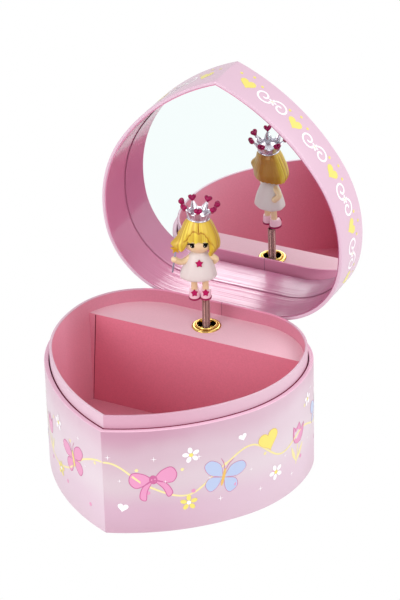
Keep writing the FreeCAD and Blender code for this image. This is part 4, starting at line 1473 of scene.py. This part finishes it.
class printSheet:
    # gathers shapes by ink, then wraps them on a surface
    def __init__(self):
        self.inks = {}

    def add(self, ink, form, x=0, z=0, turn=0.0, scale=1.0):
        self.inks.setdefault(ink, []).append(movedShape(form, x, z, turn, scale))

    def line(self, ink, path, width, x, z, turn=0.0, scale=1.0):
        self.add(ink, strokeShape(path, width / scale), x, z, turn, scale)

    def put(self, motif, x, z, size, turn=0.0):
        kind, *inkNames = motifs[motif]
        getattr(self, kind)(*inkNames, x, z, size, turn)

    def daisy(self, ink, centre, x, z, size, turn):
        for k in range(5):
            a = pi / 2 + 2 * pi * k / 5
            petal = disc(size * 0.34, size * 0.24, 14)
            spot = (0.55 * size * cos(a), 0.55 * size * sin(a))
            self.add(ink, movedShape(petal, *spot, degrees(a)), x, z, turn)
        self.add(centre, disc(size * 0.22, size * 0.22, 12), x, z, turn)

    def dot(self, ink, x, z, size):
        self.add(ink, disc(size, size, 14), x, z)

    def spark(self, ink, x, z, size):
        points = []
        for k in range(8):
            a = k * pi / 4
            r = size * (0.16 if k % 2 else 1.0)
            points.append((r * cos(a), r * sin(a)))
        self.add(ink, flatShape(points), x, z)

    def heart(self, fill, edge, x, z, size, turn):
        outline = heartOutline(size, 30)
        self.add(fill, flatShape(outline), x, z, turn)
        if edge:
            self.line(edge, outline + outline[:1], 0.55, x, z, turn)

    def lobes(self, fill, edge, side, outlines, x, z, size, turn):
        # closed outlines on one side of a motif, filled and edged
        for outline in outlines:
            flip = [(px * side, pz) for px, pz in outline]
            self.add(fill, flatShape(flip[:-1]), x, z, turn, size)
            self.line(edge, flip, 0.5, x, z, turn, size)

    def bow(self, fill, edge, x, z, size, turn):
        loop = loop2d([(0, 0), (0.35, 0.32), (0.75, 0.4), (0.9, 0.05), (0.7, -0.25), (0.3, -0.16)])
        tail = [(0.02, -0.05), (0.3, -0.45), (0.42, -0.85), (0.62, -0.7), (0.48, -0.3), (0.2, -0.08)]
        for side in (-1, 1):
            self.lobes(fill, edge, side, (loop2d(tail), loop), x, z, size, turn)
        self.add(edge, disc(0.16, 0.2, 14), x, z, turn, size)

    def butterfly(self, fill, edge, body, x, z, size, turn):
        upper = loop2d([(0.04, 0.02), (0.25, 0.55), (0.7, 0.72), (0.92, 0.45), (0.62, 0.08)])
        lower = loop2d([(0.04, -0.02), (0.55, -0.06), (0.7, -0.4), (0.45, -0.68), (0.2, -0.5)])
        for side in (-1, 1):
            self.lobes(fill, edge, side, (upper, lower), x, z, size, turn)
            feeler = curve2d([(side * 0.02, 0.3), (side * 0.12, 0.62), (side * 0.3, 0.86)])
            self.line(edge, feeler, 0.4, x, z, turn, size)
        self.add(body, disc(0.07, 0.42, 14), x, z, turn, size)

    def tulip(self, fill, edge, stemInk, x, z, size, turn):
        stalk = curve2d([(0.0, -1.0), (0.05, -0.6), (0.0, -0.1)], 6)
        self.line(stemInk, stalk, 0.9, x, z, turn, size)
        for side in (-1, 1):
            leaf = loop2d([(0.02, -0.9), (side * 0.28, -0.6), (side * 0.4, -0.2), (side * 0.12, -0.55)])
            self.add(stemInk, flatShape(leaf[:-1]), x, z, turn, size)
        half = [
            (0.2, -0.09), (0.32, 0.08), (0.37, 0.3), (0.38, 0.6), (0.27, 0.5), (0.18, 0.36), (0.1, 0.55),
        ]
        cup = [(0, -0.15)] + half + [(0, 0.7)] + [(-px, pz) for px, pz in reversed(half)]
        self.add(fill, flatShape(cup), x, z, turn, size)
        self.line(edge, cup + cup[:1], 0.6, x, z, turn, size)

    def build(self, name, wrap, body, slotName):
        for order, (ink, forms) in enumerate(self.inks.items()):
            verts, faces = merge(*forms)
            lifts = []
            for k, form in enumerate(forms):  # each shape a hair above the one before
                lifts += [prints["lift"] + prints["layer"] * (order + k / len(forms))] * len(form[0])
            mesh = bpy.data.meshes.new(name + ink)
            mesh.from_pydata([tuple(wrap(x, z, lift)) for (x, z), lift in zip(verts, lifts)], [], faces)
            smoothed(mesh)
            mesh.materials.append(paints[ink])
            faceOutwards(mesh, wrap, verts)
            addPiece(linked(name + ink, mesh), body, slotName)


def faceOutwards(mesh, wrap, flat):
    # turns each face so that its normal leaves the paper
    work = bmesh.new()
    work.from_mesh(mesh)
    work.faces.ensure_lookup_table()
    for face in work.faces:
        x, z = (sum(flat[v.index][i] for v in face.verts) / len(face.verts) for i in (0, 1))
        face.normal_update()
        if face.normal.dot(wrap(x, z, 1.0) - wrap(x, z, 0.0)) < 0:
            face.normal_flip()
    work.to_mesh(mesh)
    work.free()


def wrapWall(along, z, lift):
    x, y = wallPoint(along, lift)
    return Vector((x * mm, y * mm, z * mm))


def wrapLid(along, z, lift):
    return lidPose @ wrapWall(along, z, lift)


def wrapTop(x, y, lift):
    return lidPose @ Vector((x * mm, y * mm, (lid["top"] + lift) * mm))


boxSheet = {
    "ribbon": [
        (-233, 34), (-220, 40), (-204, 34), (-184, 22), (-162, 26), (-142, 40), (-118, 30), (-100, 44),
        (-78, 36), (-58, 20), (-36, 24), (-16, 40), (4, 45), (24, 30), (46, 22), (66, 36), (84, 44),
        (104, 30), (126, 36), (150, 28), (170, 40), (190, 44), (208, 28), (222, 26), (233, 34),
    ],
    "front": [
        ("bowPink", 27, 34, 14.5, 8),
        ("wingsBlue", 66, 29, 13.5, -14),
        ("heartGold", 95, 43, 13.5, 10),
        ("tulip", 120, 31, 15, -10),
        ("bowBlue", 148, 38, 11, -8),
        ("daisyWhite", 48, 47, 5.6, 10),
        ("daisyYellow", 46, 17, 5.6),
        ("daisyWhite", 100, 20, 5.6, 20),
        ("daisyWhite", 133, 50, 4.6),
        ("heartWhite", 10, 17, 6.0, -12),
        ("heartWhite", 78, 51, 5.0, 14),
        ("wingsPink", -28, 34, 12.5, 12),
        ("tulip", -64, 33, 14.5, 8),
        ("heartGold", -94, 40, 12, -10),
        ("bowBlue", -126, 34, 11.5, 6),
        ("daisyWhite", -47, 47, 5.2),
        ("daisyYellow", -46, 18, 5.2),
        ("daisyWhite", -80, 20, 5.2),
        ("daisyYellow", -112, 51, 4.8),
    ],
    "back": [  # on both sides of the middle
        ("wingsPink", 176, 30, 12.5, 10),
        ("heartGold", 204, 42, 12, -10),
        ("daisyWhite", 160, 48, 5.2, 0),
        ("daisyYellow", 190, 18, 5.2, 0),
        ("daisyWhite", 213, 17, 5.2, 0),
        ("daisyWhite", 226, 47, 4.4, 0),
    ],
    "small": [
        ("dot", "inkPink", 1.2),
        ("spark", "inkWhite", 1.9),
        ("dot", "inkPale", 1.0),
        ("spark", "inkWhite", 1.3),
    ],
}


def boxPrint():
    page = printSheet()
    page.add("inkPale", strokeShape(curve2d(boxSheet["ribbon"], 16), 1.1))
    for entry in boxSheet["front"]:
        page.put(*entry)
    for side in (-1, 1):
        for motif, along, z, size, turn in boxSheet["back"]:
            page.put(motif, side * along, z, size, side * turn)
    page.put("tulip", halfLength, 26, 14)
    for k in range(prints["dots"]):  # dots and sparks stepped along the wall
        along = 0.95 * halfLength * (2 * ((k * prints["stepX"]) % 1.0) - 1)
        kind, ink, size = boxSheet["small"][k % 4]
        getattr(page, kind)(ink, along, 12 + 44 * ((k * prints["stepZ"]) % 1.0), size)
    page.build("boxPrint", wrapWall, "box", "pink_card")


lidSheet = {"middle": 80.0, "first": 14, "step": 34, "heart": 9.5, "daisy": 3.0, "curl": 5.6, "turns": 1.3}


def scroll(turns, size):
    # open spiral curl
    points = []
    for k in range(28):
        t = k / 27
        a = turns * 2 * pi * t
        r = size * (1 - 0.82 * t)
        points.append((size - r * cos(a), r * sin(a)))
    return points


def lidPrint():
    page = printSheet()
    middle = lidSheet["middle"]
    for side in (-1, 1):
        for k in range(5):
            along = side * (lidSheet["first"] + lidSheet["step"] * k)
            page.put("heartYellow", along, middle, lidSheet["heart"], side * 8)
            for x, z in ((-7.0, 5.5), (7.0, 5.5), (0.0, 8.5)):
                page.dot("inkYellow", along + x, middle + z, 0.9)
            between = along + side * lidSheet["step"] / 2
            for flip in (-1, 1):
                curl = scroll(lidSheet["turns"], lidSheet["curl"])
                curl = [(between + flip * px, middle + flip * pz) for px, pz in curl]
                page.add("inkWhite", strokeShape(curl, 1.3))
            page.put("daisyWhite", between, middle, lidSheet["daisy"])
    page.build("lidPrint", wrapLid, "lid", "pink_card")


topSheet = {
    "border": 10.0,
    "beads": 28,
    "sides": [  # on both sides of the middle
        ("wingsBlue", 33, 18, 17, -16),
        ("tulip", 36, -20, 17, -20),
        ("daisyWhite", 14, 26, 6.0, 0),
        ("daisyYellow", 15, -50, 5.4, 0),
    ],
}


def topPrint():
    page = printSheet()
    border = heartLoop(topSheet["border"])
    page.add("inkWhite", strokeShape(border + border[:1], 0.9))
    stride = len(border) // topSheet["beads"]
    for k in range(topSheet["beads"]):
        x, y = border[k * stride]
        if k % 2:
            page.put("daisyWhite", x, y, 4.2, k * 20)
        else:
            page.put("heartYellow", x, y, 7.0)
    page.put("bowPink", 0, -20, 22)
    for side in (-1, 1):
        for motif, x, y, size, turn in topSheet["sides"]:
            page.put(motif, side * x, y, size, side * turn)
    page.put("heartGold", 0, 8, 20)
    for k in range(prints["sparks"]):  # sparks inside the border
        x, y = -52 + 104 * ((k * prints["stepX"]) % 1.0), -56 + 92 * ((k * prints["stepZ"]) % 1.0)
        if abs(x) < 0.72 * (y + 84):
            page.spark("inkWhite", x, y, 1.9 if k % 2 else 1.3)
    page.build("topPrint", wrapTop, "lid", "pink_card")


boxPrint()
lidPrint()
topPrint()
print("stage: print")


# floor, light and camera


def seenDirectly(tree):
    # 1 for what the camera sees straight or in the mirror, 0 for light that falls on the object
    path = tree.nodes.new("ShaderNodeLightPath")
    return calc(tree, "MAXIMUM", path.outputs["Is Camera Ray"], path.outputs["Is Glossy Ray"])


def floorMaterial():
    # pale floor that shows as the white ground of the studio
    material, tree, shader = newMaterial("floorWhite", Base_Color=grey(0.92), Roughness=0.7)
    glow = addNode(tree, "ShaderNodeEmission", {"Color": grey(1.0)})
    feeds = {0: seenDirectly(tree), 1: shader.outputs[0], 2: glow.outputs[0]}
    mix = addNode(tree, "ShaderNodeMixShader", feeds)
    feed(tree, tree.nodes["Material Output"].inputs["Surface"], mix.outputs[0])
    return material


floorMesh = bpy.data.meshes.new("floor")
floorMesh.from_pydata([(-6, -6, 0), (6, -6, 0), (6, 6, 0), (-6, 6, 0)], [], [(0, 1, 2, 3)])
floorMesh.materials.append(floorMaterial())
floor = linked("floor", floorMesh)
floor.location.z = -0.0002

world = bpy.data.worlds.new("studio")
bpy.context.scene.world = world
world.use_nodes = True
skyTree = world.node_tree
sky = skyTree.nodes["Background"]
sky.inputs["Color"].default_value = grey(1.0)
skyFeeds = {"Value": seenDirectly(skyTree), "To Min": 0.62, "To Max": 1.0}
feed(skyTree, sky.inputs["Strength"], addNode(skyTree, "ShaderNodeMapRange", skyFeeds).outputs["Result"])

lamps = [
    ("keyLamp", (-0.45, -1.1, 0.65), 0.7, 7.5),
    ("fillLamp", (0.95, -0.6, 0.65), 0.7, 3.5),
    ("topLamp", (0.8, 0.5, 0.95), 0.6, 5.5),
]
aim = Vector((0, 0, 0.08))
for name, spot, size, power in lamps:
    light = bpy.data.lights.new(name, "AREA")
    light.shape = "SQUARE"
    light.size = size
    light.energy = power
    lamp = linked(name, light)
    lamp.location = spot
    lamp.rotation_euler = (aim - Vector(spot)).to_track_quat("-Z", "Y").to_euler()

view = {
    "az": 27.64,
    "el": 29.19,
    "roll": -1.58,
    "dist": 1.511,
    "target": (0.01461, 0.0, 0.1027),
    "pixels": 2754.14,  # focal length in pixels of the picture's height
    "tall": 600.0,
    "sensor": 36.0,
}


def addCamera():
    az, el, roll = (radians(view[k]) for k in ("az", "el", "roll"))
    back = Vector((sin(az) * cos(el), -cos(az) * cos(el), sin(el)))
    right = Vector((cos(az), sin(az), 0))
    tiltRight = right * cos(roll) + back.cross(right) * sin(roll)
    lens = bpy.data.cameras.new("camera")
    lens.sensor_fit = "VERTICAL"
    lens.sensor_height = view["sensor"]
    lens.lens = view["pixels"] * view["sensor"] / view["tall"]
    lens.clip_start = 0.05
    camera = linked("camera", lens)
    pose = Matrix((tiltRight, back.cross(tiltRight), back)).transposed().to_4x4()
    pose.translation = Vector(view["target"]) + back * view["dist"]
    camera.matrix_world = pose
    bpy.context.scene.camera = camera


addCamera()
bpy.context.scene.view_settings.view_transform = "Standard"
print("stage: light and camera")
